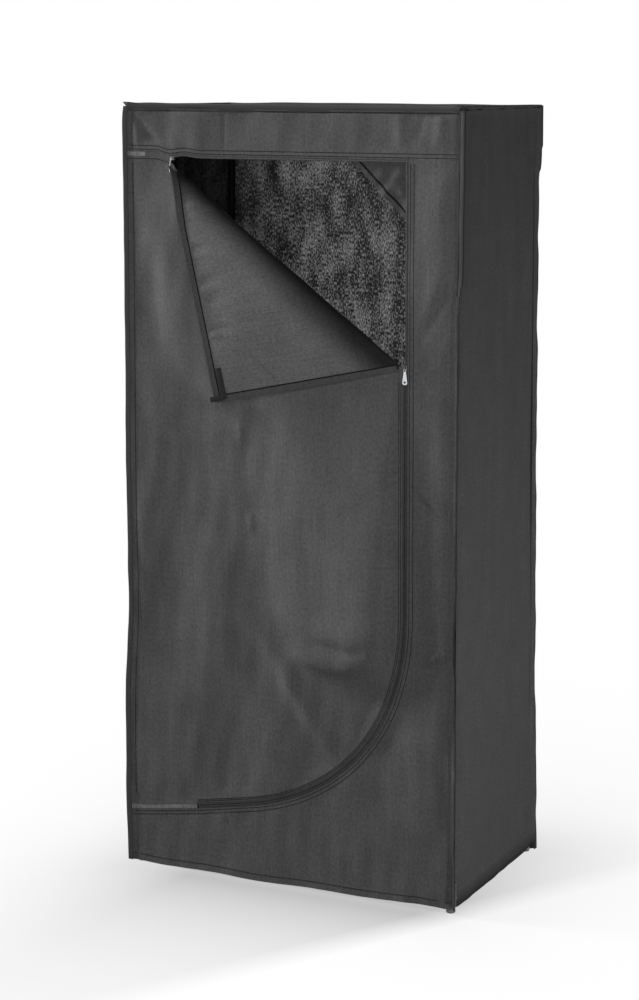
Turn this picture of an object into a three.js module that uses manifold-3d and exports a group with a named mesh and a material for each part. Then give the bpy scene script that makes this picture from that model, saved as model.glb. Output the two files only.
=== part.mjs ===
// A portable wardrobe: a cloth cover with a zipped door, drawn over a frame of plugged steel tubes.
// Millimetres, +Z up, +X to the right and +Y to the back, seen from the front.
import * as THREE from 'three';
import { mergeVertices } from 'three/addons/utils/BufferGeometryUtils.js';
import Module from 'manifold-3d';

const wasm = await Module();
wasm.setup();

// Overall size, over the standing seams
const WIDTH = 750;
const DEPTH = 450;
const HEIGHT = 1600;
const SEAM_STAND = 7; // how far a standing seam reaches out of the cover, sideways and up
const SEAM_THICK = 1.4;
const GAP = 0.3; // left between pieces that touch

// The open flap stands forward of the cabinet, so the cabinet sits back of the middle
const CABINET_SET_BACK = 34;

// Cover cloth
const CLOTH = 0.6;
const HEM_Z = 12;
const BILLOW = 5; // how far a wide panel draws in between the tubes
const COVER_X = WIDTH / 2 - SEAM_STAND;
const COVER_Y = DEPTH / 2 - SEAM_STAND;
const COVER_TOP = HEIGHT - SEAM_STAND;
const FRONT_FACE = -COVER_Y;

// Steel tube and its moulded connectors
const TUBE_R = 8;
const TUBE_BORE_R = 7.2;
const SWAGE_R = 6.9; // the drawn-in end that plugs into the next tube
const SWAGE_BORE_R = 6.1;
const SWAGE_LENGTH = 30;
const SWAGE_TAPER = 2.2;
const ROUND_STEPS = 16;
const POST_INSET = 13; // from the cover's face to the middle of a post
const POST_X = COVER_X - POST_INSET;
const POST_Y = COVER_Y - POST_INSET;
const TOP_RAIL_Z = COVER_TOP - POST_INSET;
const BOTTOM_RAIL_Z = 28;
const POST_JOINTS = [530, 1060];
const SOCKET_R = 11;
const SOCKET_BORE_R = TUBE_R + GAP;
const SOCKET_LENGTH = 34;
const SOCKET_LIP_R = 11.9;
const SOCKET_LIP_WIDTH = 3;
const SOCKET_LIP_START = 0.75; // share of the lip's width behind its full height
const SOCKET_LIP_ROUND = 0.8;
const SOCKET_BALL_R = 11.45; // the ball that joins the arms
const SOCKET_FLOOR = 9; // from the middle of a top connector to the end of its bores
const SIDE_SOCKET_FLOOR = 9.6; // the same beside the through bore of a bottom connector
const LOWER_STUB = 15;
const RIB_REACH = 31;
const RIB_THICK = 3;
const BORE_PAST = 1; // how far a cutting solid runs past what it cuts

// Hanging rail and its brackets
const RAIL_DROP = 37;
const BRACKET_WIDTH = 30;
const BRACKET_WEB = 8;
const BRACKET_END = 6; // how far the cup reaches outward of the side rail's middle
const BRACKET_WALL = 3;
const BRACKET_WEB_HALF = 8; // half the web's breadth under the side rail
const BRACKET_WEB_OUT = 12; // how far down its outer edge runs straight
const BRACKET_WEB_IN = 14;

// Foot caps
const FOOT_R = 9.5;
const FOOT_HEIGHT = 12.6;
const FOOT_FLOOR = 3;
const FOOT_CHAMFER = 0.9;
const FOOT_CHAMFER_HEIGHT = 1.2;
const FOOT_DRAFT = 0.2;

// Zips: their centre lines lie in the plane of the front
const ZIP_X = 258;
const ZIP_TOP_Z = 1492;
const ZIP_BEND_Z = 590; // where the side zip leaves its straight run
const ZIP_END = [-211, 141];
const CLOTH_OFF_ZIP = 6; // bare width from the centre line to the edge of the cloth
const ROW_IN = 1;
const ROW_OUT = 3.1;
const ROW_HALF = 1.2;
const TAPE_OUT = 16;
const TAPE_HALF = CLOTH / 2;
const TAPE_Y = FRONT_FACE + CLOTH + GAP + TAPE_HALF; // middle of the tape's thickness
const TAIL_HALF = 10;
const TAIL_FALL = 24; // drop of the lower tail from the zip's end to the left edge
const TAIL_OFF_TOP = 7; // from the top slider to the upper tail
const TAIL_OFF_END = 4; // from the zip's lower end to the lower tail
const TAPE_MITRE = 0.3; // left between the two tapes that meet at the corner

// Door: it hangs on a line from the top slider to the lower end of the zip
const HINGE_TOP = [-262, 1490];
const HINGE_BOTTOM = ZIP_END;
const HINGE_CLEAR = 0.6;
const DOOR_TOP_CUT = 1458; // the door and flap stop here so that the hanging pull clears them
const DOOR_TAPE_TOP = 1050; // the door's own tape starts under the side pull
const DOOR_TAPE_STOP = 6; // it ends this far short of the hinge line

// Folded corner of the door: a cone of cloth whose point is at the side slider
const APEX = new THREE.Vector3(ZIP_X - CLOTH_OFF_ZIP, FRONT_FACE + CLOTH / 2, 1088);
const ALONG = new THREE.Vector3(-0.8, 0, 0.6); // from the point up the fold line
const ACROSS = new THREE.Vector3(0.6, 0, 0.8); // square to it, towards the corner when shut
const OUTWARD = new THREE.Vector3(0, -1, 0);
const CORNER_ANGLE = Math.acos(0.6); // from the fold line to the shut side edge
const FLAT_FROM = 0.12; // angle from the fold line where the bulge has become flat cloth
const LEAN_AT = 0.5; // angle at which the flat cloth stands out most
const LEAN = 0.15; // how far it stands out there, as an angle at the point
const BULGE_OUT = 0.07;
const BULGE_RISE = 0.27;
const BULGE_IN = 0.064;
const BULGE_STEPS = 8;
const NORMAL_STEP = 0.004; // angle on each side over which the cloth's normal is taken
const POINT_TRIM = 28; // cloth left off round the slider
const FLAP_STANDS_OFF = 0.5; // the root stands this far off the door so that the turn starts clear
const FLAT_RAYS = [0.5, 0.72]; // angles of the rays between the bulge and the side edge

// Places of the two sliders
const TOP_SLIDER_X = -266;
const SIDE_SLIDER_Z = APEX.z;

// Slider and pull
const SLIDER_HALF = 5.5;
const SLIDER_HALF_WIDTH = 4.2;
const SLIDER_NECK = [2.2, 3.6, 1.4]; // half widths at its narrow end, and how far the corner is cut
const SLIDER_MOUTH = [3, 1.2]; // half width at its wide end, and how far the corner is cut
const SLIDER_IN = 1.5;
const SLIDER_PLATE = 1.2;
const SLIDER_WEDGE = 0.6;
const SLIDER_WEDGE_LENGTH = 3.8;
const SLIDER_WEDGE_AT = 2.9;
const CHEEK_LENGTH = 6;
const CHEEK_DEPTH = 0.9;
const CHEEK_THICK = 0.7;
const BRIDGE_TOP = 6.8;
const BRIDGE_BAR = 1;
const BRIDGE_HALF = 0.7;
const BRIDGE_FOOT_X = 4.2;
const BRIDGE_CROWN_X = 2.8;
const BRIDGE_CORNER = 1.6;
const PULL_LENGTH = 31;
const PULL_THICK = 1;
const PULL_TOP_HALF = 2.4;
const PULL_TOP_CORNER = 0.8;
const PULL_SHOULDER_HALF = 2.6; // where it starts to widen
const PULL_END_HALF = 5;
const PULL_BAR = 0.65;
const PULL_SLOT_HALF = 1.5;
const PULL_SLOT_END = 5.4;
const PULL_HOLE_R = 2.3;
const PULL_HOLE_AT = 26;
const PULL_WAIST = 1.5; // below the slot, where the pull starts to widen
const PULL_END_LENGTH = 7; // the end of full width
const PULL_END_ROUND = 2;
const SIDE_PULL_DROP = 1.2; // its bar hangs this far below the slider's middle
const TOP_PULL_RISE = 1.55; // its slot rides this far up the bridge when edge on
const PULL_LEAN = THREE.MathUtils.degToRad(3);

// Gusset across the top right corner, behind the zips
const GUSSET_LEFT = 152;
const GUSSET_LOW = 1412;
const GUSSET_CLEAR = 4.2;
const GUSSET_SEAM = 1.5;
const GUSSET_MARGIN = 18;

// Finishes
const finish = (colour, roughness, metalness = 0) =>
  new THREE.MeshStandardMaterial({ color: colour, roughness, metalness });
const coverCloth = () => finish(0x525253, 0.9);
const seamCloth = () => finish(0x313132, 0.9);
const tapeCloth = () => finish(0x202021, 0.85);
const tailCloth = () => finish(0x707071, 0.85);
const tubePaint = () => finish(0x2d2e30, 0.45, 0.3);
const blackPlastic = () => finish(0x1c1c1d, 0.5);
const greyPlastic = () => finish(0x77787a, 0.55);
const brightMetal = () => finish(0xc9cacc, 0.25, 1);

const wardrobe = new THREE.Group();

function add(name, geometry, material) {
  const mesh = new THREE.Mesh(geometry, material);
  mesh.name = name;
  wardrobe.add(mesh);
  return mesh;
}

// Solids

function joined(geometry) {
  const copy = geometry.clone();
  copy.deleteAttribute('normal');
  copy.deleteAttribute('uv');
  return mergeVertices(copy, 1e-4);
}

function facesOut(geometry) {
  const solid = joined(geometry);
  const at = solid.attributes.position;
  const order = solid.index.array;
  const [a, b, c] = [new THREE.Vector3(), new THREE.Vector3(), new THREE.Vector3()];
  let volume = 0;
  for (let i = 0; i < order.length; i += 3) {
    a.fromBufferAttribute(at, order[i]);
    b.fromBufferAttribute(at, order[i + 1]);
    c.fromBufferAttribute(at, order[i + 2]);
    volume += a.dot(b.cross(c));
  }
  if (volume < 0) {
    for (let i = 0; i < order.length; i += 3) {
      [order[i + 1], order[i + 2]] = [order[i + 2], order[i + 1]];
    }
  }
  solid.computeVertexNormals();
  return solid;
}

function toManifold(geometry) {
  const solid = facesOut(geometry);
  const mesh = new wasm.Mesh({
    numProp: 3,
    vertProperties: new Float32Array(solid.attributes.position.array),
    triVerts: new Uint32Array(solid.index.array),
  });
  return new wasm.Manifold(mesh);
}

function fromManifold(manifold) {
  const mesh = manifold.getMesh();
  const geometry = new THREE.BufferGeometry();
  geometry.setAttribute('position', new THREE.BufferAttribute(mesh.vertProperties, 3));
  geometry.setIndex(new THREE.BufferAttribute(mesh.triVerts, 1));
  geometry.computeVertexNormals();
  return geometry;
}

const union = (geometries) =>
  geometries.map(toManifold).reduce((whole, piece) => whole.add(piece));

// Turned solid about +Z from a closed profile of [radius, height] pairs
function turned(profile) {
  const points = profile.map(([r, z]) => new THREE.Vector2(r, z));
  return facesOut(new THREE.LatheGeometry(points, ROUND_STEPS).rotateX(Math.PI / 2));
}

// Plate in the plane of the front, from a shape in x and z, with its front face at y
function frontPlate(shape, y, thickness) {
  const plate = new THREE.ExtrudeGeometry(shape, { depth: thickness, bevelEnabled: false });
  return facesOut(plate.rotateX(Math.PI / 2).translate(0, y + thickness, 0));
}

// Shape through [x, z] pairs, counterclockwise so that its holes may run either way
function outline(points) {
  const ring = points.map(([x, z]) => new THREE.Vector2(x, z));
  return new THREE.Shape(THREE.ShapeUtils.isClockWise(ring) ? ring.reverse() : ring);
}

// Closed sheet between two faces, faceAt(u, v, side) with side 0 and 1
function sheet(columns, rows, faceAt) {
  const position = [];
  for (const side of [0, 1]) {
    for (let j = 0; j <= rows; j++) {
      for (let i = 0; i <= columns; i++) {
        const p = faceAt(i / columns, j / rows, side);
        position.push(p.x, p.y, p.z);
      }
    }
  }
  const at = (side, i, j) => (side * (rows + 1) + j) * (columns + 1) + i;
  const index = [];
  const quad = (a, b, c, d) => index.push(a, b, c, a, c, d);
  for (let j = 0; j < rows; j++) {
    for (let i = 0; i < columns; i++) {
      quad(at(0, i, j), at(0, i + 1, j), at(0, i + 1, j + 1), at(0, i, j + 1));
      quad(at(1, i, j), at(1, i, j + 1), at(1, i + 1, j + 1), at(1, i + 1, j));
    }
  }
  for (let i = 0; i < columns; i++) {
    quad(at(0, i, 0), at(1, i, 0), at(1, i + 1, 0), at(0, i + 1, 0));
    quad(at(0, i, rows), at(0, i + 1, rows), at(1, i + 1, rows), at(1, i, rows));
  }
  for (let j = 0; j < rows; j++) {
    quad(at(0, 0, j), at(0, 0, j + 1), at(1, 0, j + 1), at(1, 0, j));
    quad(at(0, columns, j), at(1, columns, j), at(1, columns, j + 1), at(0, columns, j + 1));
  }
  return closedGeometry(position, index);
}

// Closed solid through a row of like sections, each a ring of points; ends are fanned over
function loft(sections, capFaces) {
  const ring = sections[0].length;
  const position = sections.flat().flatMap((p) => [p.x, p.y, p.z]);
  const index = [];
  for (let s = 0; s + 1 < sections.length; s++) {
    for (let i = 0; i < ring; i++) {
      const [a, b] = [s * ring + i, s * ring + ((i + 1) % ring)];
      index.push(a, b, b + ring, a, b + ring, a + ring);
    }
  }
  const last = (sections.length - 1) * ring;
  for (const [a, b, c] of capFaces) {
    index.push(a, c, b, last + a, last + b, last + c);
  }
  return closedGeometry(position, index);
}

function closedGeometry(position, index) {
  const geometry = new THREE.BufferGeometry();
  geometry.setAttribute('position', new THREE.Float32BufferAttribute(position, 3));
  geometry.setIndex(index);
  return facesOut(geometry);
}

// Steel tubes

function plainTube(length) {
  return turned([
    [TUBE_R, 0], [TUBE_R, length], [TUBE_BORE_R, length], [TUBE_BORE_R, 0], [TUBE_R, 0],
  ]);
}

// The upper end is drawn in, so that the next tube slides over it
function swagedTube(length) {
  const shoulder = length - SWAGE_TAPER;
  const tip = length + SWAGE_LENGTH;
  return turned([
    [TUBE_R, 0], [TUBE_R, shoulder], [SWAGE_R, length], [SWAGE_R, tip],
    [SWAGE_BORE_R, tip], [SWAGE_BORE_R, length], [TUBE_BORE_R, shoulder], [TUBE_BORE_R, 0], [TUBE_R, 0],
  ]);
}

function addPost(corner, x, y) {
  const bottoms = [FOOT_FLOOR + GAP, ...POST_JOINTS];
  const top = TOP_RAIL_Z - SOCKET_FLOOR - GAP;
  ['lower', 'middle', 'upper'].forEach((part, i) => {
    const isTop = i === POST_JOINTS.length;
    const length = isTop ? top - bottoms[i] : bottoms[i + 1] - GAP - bottoms[i];
    const tube = isTop ? plainTube(length) : swagedTube(length);
    add(`${corner}_post_${part}`, tube, tubePaint()).position.set(x, y, bottoms[i]);
  });
}

function addRail(name, from, to) {
  const along = new THREE.Vector3().subVectors(to, from);
  const rail = add(name, plainTube(along.length()), tubePaint());
  rail.position.copy(from);
  rail.quaternion.setFromUnitVectors(new THREE.Vector3(0, 0, 1), along.normalize());
}

function addRails() {
  for (const [level, z, floor] of [
    ['top', TOP_RAIL_Z, SOCKET_FLOOR],
    ['bottom', BOTTOM_RAIL_Z, SIDE_SOCKET_FLOOR],
  ]) {
    const [x, y] = [POST_X - floor - GAP, POST_Y - floor - GAP];
    for (const [side, sy] of [['front', -1], ['back', 1]]) {
      const start = new THREE.Vector3(-x, sy * POST_Y, z);
      addRail(`${side}_${level}_rail`, start, start.clone().setX(x));
    }
    for (const [side, sx] of [['left', -1], ['right', 1]]) {
      const start = new THREE.Vector3(sx * POST_X, -y, z);
      addRail(`${side}_${level}_rail`, start, start.clone().setY(y));
    }
  }
  const reach = POST_X + BRACKET_END - BRACKET_WALL - GAP;
  const z = TOP_RAIL_Z - RAIL_DROP;
  addRail('hanging_rail', new THREE.Vector3(-reach, 0, z), new THREE.Vector3(reach, 0, z));
}

// Moulded connectors

// Sleeve from the connector's middle along +Z, with a rolled lip at its mouth
function socketArm(length, start = 0) {
  return turned([
    [0, start], [SOCKET_R, start], [SOCKET_R, length - SOCKET_LIP_WIDTH],
    [SOCKET_LIP_R, length - SOCKET_LIP_WIDTH * SOCKET_LIP_START],
    [SOCKET_LIP_R, length - SOCKET_LIP_ROUND],
    [SOCKET_R, length], [0, length],
  ]);
}

function bore(from, to) {
  return turned([[0, from], [SOCKET_BORE_R, from], [SOCKET_BORE_R, to], [0, to]]);
}

const alongX = (geometry) => geometry.rotateY(-Math.PI / 2);
const alongY = (geometry) => geometry.rotateX(Math.PI / 2);

// Triangular rib in the XY plane, between the arms along -X and -Y
function rib() {
  const web = outline([[0, 0], [-RIB_REACH, 0], [0, -RIB_REACH]]);
  return new THREE.ExtrudeGeometry(web, { depth: RIB_THICK, bevelEnabled: false })
    .translate(0, 0, -RIB_THICK / 2);
}

// Arms along -X, -Y and up or down; the back right corner's, and turned for the others
function cornerConnector(up) {
  const post = up > 0 ? socketArm(SOCKET_LENGTH) : socketArm(SOCKET_LENGTH).rotateX(Math.PI);
  const body = [
    new THREE.SphereGeometry(SOCKET_BALL_R, ROUND_STEPS, ROUND_STEPS / 2),
    alongX(socketArm(SOCKET_LENGTH)),
    alongY(socketArm(SOCKET_LENGTH)),
    post,
    rib(),
    rib().rotateX((-up * Math.PI) / 2),
    rib().rotateY((up * Math.PI) / 2),
  ];
  if (up > 0) {
    body.push(turned([[0, -LOWER_STUB], [SOCKET_R, -LOWER_STUB], [SOCKET_R, 0], [0, 0]]));
  }
  const floor = up > 0 ? SIDE_SOCKET_FLOOR : SOCKET_FLOOR;
  const mouth = SOCKET_LENGTH + BORE_PAST;
  const bores = union([
    alongX(bore(floor, mouth)),
    alongY(bore(floor, mouth)),
    up > 0 ? bore(-LOWER_STUB - BORE_PAST, mouth) : bore(floor, mouth).rotateX(Math.PI),
  ]);
  return fromManifold(union(body).subtract(bores));
}

function addConnectors() {
  const quarter = Math.PI / 2;
  const turns = {
    back_right: 0, back_left: quarter, front_left: 2 * quarter, front_right: 3 * quarter,
  };
  for (const [level, z, up] of [['top', TOP_RAIL_Z, -1], ['bottom', BOTTOM_RAIL_Z, 1]]) {
    for (const [corner, turn] of Object.entries(turns)) {
      const connector = add(`${corner}_${level}_connector`, cornerConnector(up), blackPlastic());
      const [x, y] = cornerPlace(corner);
      connector.position.set(x, y, z);
      connector.rotation.z = turn;
    }
  }
}

function cornerPlace(corner) {
  const x = corner.endsWith('right') ? POST_X : -POST_X;
  const y = corner.startsWith('front') ? -POST_Y : POST_Y;
  return [x, y];
}

// Ring on the side rail with a cup below it; the cup opens along -X
function railBracket() {
  const ring = socketArm(BRACKET_WIDTH / 2, -BRACKET_WIDTH / 2);
  const cup = socketArm(BRACKET_WIDTH - BRACKET_END, -BRACKET_END);
  const web = frontPlate(
    outline([
      [-BRACKET_WEB_HALF, 0], [BRACKET_WEB_HALF, 0], [BRACKET_WEB_HALF, -BRACKET_WEB_OUT],
      [BRACKET_END, -RAIL_DROP], [2 * BRACKET_END - BRACKET_WIDTH, -RAIL_DROP],
      [-BRACKET_WEB_HALF, -BRACKET_WEB_IN],
    ]),
    -BRACKET_WEB / 2,
    BRACKET_WEB,
  );
  const body = union([alongY(ring), alongX(cup).translate(0, 0, -RAIL_DROP), web]);
  const bores = union([
    alongY(bore(-BRACKET_WIDTH, BRACKET_WIDTH)),
    alongX(bore(BRACKET_WALL - BRACKET_END, BRACKET_WIDTH)).translate(0, 0, -RAIL_DROP),
  ]);
  return fromManifold(body.subtract(bores));
}

function addBrackets() {
  for (const [side, sx] of [['left', -1], ['right', 1]]) {
    const bracket = add(`${side}_rail_bracket`, railBracket(), blackPlastic());
    bracket.position.set(sx * POST_X, 0, TOP_RAIL_Z);
    bracket.rotation.z = sx > 0 ? 0 : Math.PI;
  }
}

function addFeet() {
  const cap = [
    [0, 0], [FOOT_R - FOOT_CHAMFER, 0], [FOOT_R, FOOT_CHAMFER_HEIGHT], [FOOT_R - FOOT_DRAFT, FOOT_HEIGHT],
    [SOCKET_BORE_R, FOOT_HEIGHT], [SOCKET_BORE_R, FOOT_FLOOR], [0, FOOT_FLOOR],
  ];
  for (const corner of ['front_left', 'front_right', 'back_left', 'back_right']) {
    const [x, y] = cornerPlace(corner);
    add(`${corner}_foot`, turned(cap), greyPlastic()).position.set(x, y, 0);
  }
}

// Cover

// Wide panel that draws in between the tubes; place(u, v, inward) gives a point
function billowed(columns, rows, place) {
  const dip = (u, v) => BILLOW * Math.sin(Math.PI * u) * Math.sin(Math.PI * v);
  return sheet(columns, rows, (u, v, side) => place(u, v, dip(u, v) + side * CLOTH));
}

function addWidePanels() {
  const y = COVER_Y - CLOTH - GAP;
  const x = COVER_X - CLOTH - GAP;
  const height = COVER_TOP - HEM_Z;
  for (const [side, sx] of [['left', -1], ['right', 1]]) {
    const panel = billowed(6, 12, (u, v, inward) =>
      new THREE.Vector3(sx * (COVER_X - inward), (2 * u - 1) * y, HEM_Z + v * height));
    add(`${side}_side_panel`, panel, coverCloth());
  }
  const back = billowed(8, 12, (u, v, inward) =>
    new THREE.Vector3((2 * u - 1) * COVER_X, COVER_Y - inward, HEM_Z + v * height));
  add('back_panel', back, coverCloth());
  add('top_panel', sheet(1, 1, (u, v, side) =>
    new THREE.Vector3((2 * u - 1) * x, (2 * v - 1) * y, COVER_TOP - side * CLOTH)), coverCloth());
}

// Standing seams, where two cloths are sewn edge to edge with the edges outside

function addSeams() {
  const reach = SEAM_STAND * Math.SQRT2 - GAP;
  const height = COVER_TOP - 1 - HEM_Z;
  for (const [corner, angle] of [
    ['back_right', Math.PI / 4], ['back_left', (3 * Math.PI) / 4],
    ['front_left', (5 * Math.PI) / 4], ['front_right', (7 * Math.PI) / 4],
  ]) {
    const strip = new THREE.BoxGeometry(reach, SEAM_THICK, height);
    strip.translate(reach / 2 + GAP, 0, height / 2);
    const seam = add(`${corner}_seam`, facesOut(strip), seamCloth());
    const [x, y] = cornerPlace(corner);
    seam.position.set(Math.sign(x) * COVER_X, Math.sign(y) * COVER_Y, HEM_Z);
    seam.rotation.z = angle;
  }
  add('top_seam', topSeam(), seamCloth());
}

// A frame round the roof whose section leans out at 45 degrees
function topSeam() {
  const half = SEAM_THICK / Math.SQRT2 / 2;
  const section = [
    [GAP + half, GAP - half], [SEAM_STAND, SEAM_STAND - 2 * half],
    [SEAM_STAND, SEAM_STAND], [SEAM_STAND - 2 * half, SEAM_STAND], [GAP - half, GAP + half],
  ].map(([out, up]) => [Math.max(out, GAP), Math.max(up, GAP)]);
  const corners = [[1, 1], [-1, 1], [-1, -1], [1, -1]];
  const position = [];
  for (const [sx, sy] of corners) {
    for (const [out, up] of section) {
      position.push(sx * (COVER_X + out), sy * (COVER_Y + out), COVER_TOP + up);
    }
  }
  const ring = section.length;
  const count = corners.length * ring;
  const index = [];
  for (let s = 0; s < corners.length; s++) {
    for (let i = 0; i < ring; i++) {
      const [a, b] = [s * ring + i, s * ring + ((i + 1) % ring)];
      index.push(a, b, (b + ring) % count, a, (b + ring) % count, (a + ring) % count);
    }
  }
  return closedGeometry(position, index);
}

// Zip centre line

const zipBend = new THREE.CubicBezierCurve(
  new THREE.Vector2(ZIP_X, ZIP_BEND_Z),
  new THREE.Vector2(ZIP_X, 344),
  new THREE.Vector2(105, 197),
  new THREE.Vector2(-98, 162),
);
const BEND_STEPS = 14;

// Points along the side zip from height z down to its lower end, moved off the centre line:
// positive off is the cabinet's side, negative the door's
function besideZip(z, off) {
  const points = [[ZIP_X + off, z]];
  for (let i = 0; i <= BEND_STEPS; i++) {
    const at = zipBend.getPoint(i / BEND_STEPS);
    const way = zipBend.getTangent(i / BEND_STEPS);
    points.push([at.x - way.y * off, at.y + way.x * off]);
  }
  const last = zipBend.getPoint(1);
  const way = new THREE.Vector2(ZIP_END[0] - last.x, ZIP_END[1] - last.y).normalize();
  points.push([ZIP_END[0] - way.y * off, ZIP_END[1] + way.x * off]);
  return points;
}

function hingeX(z) {
  const share = (HINGE_TOP[1] - z) / (HINGE_TOP[1] - HINGE_BOTTOM[1]);
  return HINGE_TOP[0] + (HINGE_BOTTOM[0] - HINGE_TOP[0]) * share;
}

// Front of the cover

// Height of the seam left of the zip's lower end, falling towards the left edge
const tailZ = (x) => ZIP_END[1] + ((x - ZIP_END[0]) * TAIL_FALL) / (COVER_X + ZIP_END[0]);

function addFront() {
  const put = (name, points) =>
    add(name, frontPlate(outline(points), FRONT_FACE, CLOTH), coverCloth());
  const half = CLOTH_OFF_ZIP;
  const valanceZ = ZIP_TOP_Z + half;
  put('front_valance', [
    [-COVER_X, valanceZ], [COVER_X, valanceZ], [COVER_X, COVER_TOP], [-COVER_X, COVER_TOP],
  ]);
  const stripTop = ZIP_TOP_Z - half;
  put('front_left_strip', [
    [-COVER_X, tailZ(-COVER_X) + half],
    [hingeX(ZIP_END[1]) - HINGE_CLEAR, tailZ(ZIP_END[0]) + half],
    [hingeX(stripTop) - HINGE_CLEAR, stripTop],
    [-COVER_X, stripTop],
  ]);
  put('front_lower_panel', [
    [-COVER_X, HEM_Z], [COVER_X, HEM_Z], [COVER_X, valanceZ - GAP],
    ...besideZip(valanceZ - GAP, half),
    [-COVER_X, tailZ(-COVER_X) - half],
  ]);
  put('door_panel', doorOutline());
}

function doorOutline() {
  const foldX = (z) => APEX.x + ((z - APEX.z) * ALONG.x) / ALONG.z;
  const low = besideZip(APEX.z - 1, -CLOTH_OFF_ZIP);
  const [endX, endZ] = low.pop();
  const left = (z) => hingeX(z) + HINGE_CLEAR;
  return [
    [left(DOOR_TOP_CUT), DOOR_TOP_CUT],
    [foldX(DOOR_TOP_CUT) - 1, DOOR_TOP_CUT],
    [APEX.x - 1, APEX.z - 1],
    ...low,
    [Math.max(endX, left(endZ)), endZ],
  ];
}

// The two slanted tapes that close the seam beyond the ends of the zips
function addTails() {
  const inner = FRONT_FACE + CLOTH + GAP;
  const put = (name, points) => add(name, frontPlate(outline(points), inner, CLOTH), tailCloth());
  const topEnd = TOP_SLIDER_X - TAIL_OFF_TOP;
  const left = -COVER_X + 1;
  put('zip_tail_top', [
    [left, ZIP_TOP_Z - TAIL_HALF], [topEnd, ZIP_TOP_Z - TAIL_HALF],
    [topEnd, ZIP_TOP_Z + TAIL_HALF], [left, ZIP_TOP_Z + TAIL_HALF],
  ]);
  const right = ZIP_END[0] - TAIL_OFF_END;
  put('zip_tail_bottom', [
    [left, tailZ(left) - TAIL_HALF], [right, tailZ(right) - TAIL_HALF],
    [right, tailZ(right) + TAIL_HALF], [left, tailZ(left) + TAIL_HALF],
  ]);
}

// Zip tape with its row of teeth

// Section as [distance from the centre line, distance outward of the tape's middle]
const TAPE_SECTION = [
  [ROW_IN, -ROW_HALF], [ROW_OUT, -ROW_HALF], [ROW_OUT, -TAPE_HALF], [TAPE_OUT, -TAPE_HALF],
  [TAPE_OUT, TAPE_HALF], [ROW_OUT, TAPE_HALF], [ROW_OUT, ROW_HALF], [ROW_IN, ROW_HALF],
];
const TAPE_CAP = [[0, 1, 2], [0, 2, 5], [0, 5, 7], [5, 6, 7], [2, 3, 4], [2, 4, 5]];

// sections(off) gives the line of points at that distance from the centre line
function tape(lineAt) {
  const lines = TAPE_SECTION.map(([off]) => lineAt(off));
  const sections = lines[0].map((_, s) =>
    TAPE_SECTION.map(([, out], i) => new THREE.Vector3(lines[i][s][0], TAPE_Y - out, lines[i][s][1])));
  return loft(sections, TAPE_CAP);
}

function addFixedTapes() {
  add('side_zip_tape', tape((off) => besideZip(ZIP_TOP_Z + off - TAPE_MITRE, off)), tapeCloth());
  add('top_zip_tape', tape((off) => [
    [TOP_SLIDER_X - SLIDER_HALF - 1, ZIP_TOP_Z + off],
    [ZIP_X + off - TAPE_MITRE, ZIP_TOP_Z + off],
  ]), tapeCloth());
  const toHinge = (points) => {
    const [[startX, startZ], [endX, endZ]] = points.splice(-2);
    const x = ZIP_END[0] + DOOR_TAPE_STOP;
    const share = (x - startX) / (endX - startX);
    return [...points, [startX, startZ], [x, startZ + (endZ - startZ) * share]];
  };
  add('door_zip_tape', tape((off) => toHinge(besideZip(DOOR_TAPE_TOP, -off))), tapeCloth());
}

// Folded corner of the door

// Point of a curve on the unit ball: first the bulge off the fold line, then flat cloth
const flatMiddle = ALONG.clone().multiplyScalar(Math.cos(LEAN_AT))
  .addScaledVector(ACROSS, -Math.sin(LEAN_AT)).multiplyScalar(Math.cos(LEAN))
  .addScaledVector(OUTWARD, Math.sin(LEAN));
const flatAcross = ALONG.clone().multiplyScalar(-Math.sin(LEAN_AT))
  .addScaledVector(ACROSS, -Math.cos(LEAN_AT));
const flatStart = -Math.atan(Math.tan(LEAN_AT - FLAT_FROM) * Math.cos(LEAN));
const onFlat = (angle) =>
  flatMiddle.clone().multiplyScalar(Math.cos(angle)).addScaledVector(flatAcross, Math.sin(angle));

function bulgeCurve() {
  const end = onFlat(flatStart);
  const endWay = onFlat(flatStart + Math.PI / 2);
  return new THREE.CubicBezierCurve3(
    ALONG.clone(),
    ALONG.clone().addScaledVector(OUTWARD, BULGE_OUT * Math.cos(BULGE_RISE))
      .addScaledVector(ACROSS, BULGE_OUT * Math.sin(BULGE_RISE)),
    end.clone().addScaledVector(endWay, -BULGE_IN),
    end,
  );
}

const bulge = bulgeCurve().getPoints(200).map((p) => p.normalize());
const bulgeLengths = bulge.reduce(
  (sums, p, i) => (i ? [...sums, sums[i - 1] + p.distanceTo(bulge[i - 1])] : [0]), []);
const BULGE_ANGLE = bulgeLengths.at(-1);

// Direction from the point for cloth that lies at this angle from the fold line when shut
function foldDirection(angle) {
  if (angle >= BULGE_ANGLE) {
    return onFlat(flatStart + angle - BULGE_ANGLE);
  }
  const i = Math.max(1, bulgeLengths.findIndex((sum) => sum >= angle));
  const share = (angle - bulgeLengths[i - 1]) / (bulgeLengths[i] - bulgeLengths[i - 1]);
  return bulge[i - 1].clone().lerp(bulge[i], share).normalize();
}

function foldNormal(angle) {
  const before = foldDirection(Math.max(0, angle - NORMAL_STEP));
  return before.cross(foldDirection(angle + NORMAL_STEP)).normalize();
}

// Place of a point of the shut corner once folded; depth is behind the middle of the cloth
function folded(x, z, depth) {
  const flat = new THREE.Vector3(x - APEX.x, 0, z - APEX.z);
  const angle = Math.atan2(flat.dot(ACROSS), flat.dot(ALONG));
  return foldDirection(angle).multiplyScalar(flat.length())
    .addScaledVector(foldNormal(angle), depth).add(APEX);
}

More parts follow.
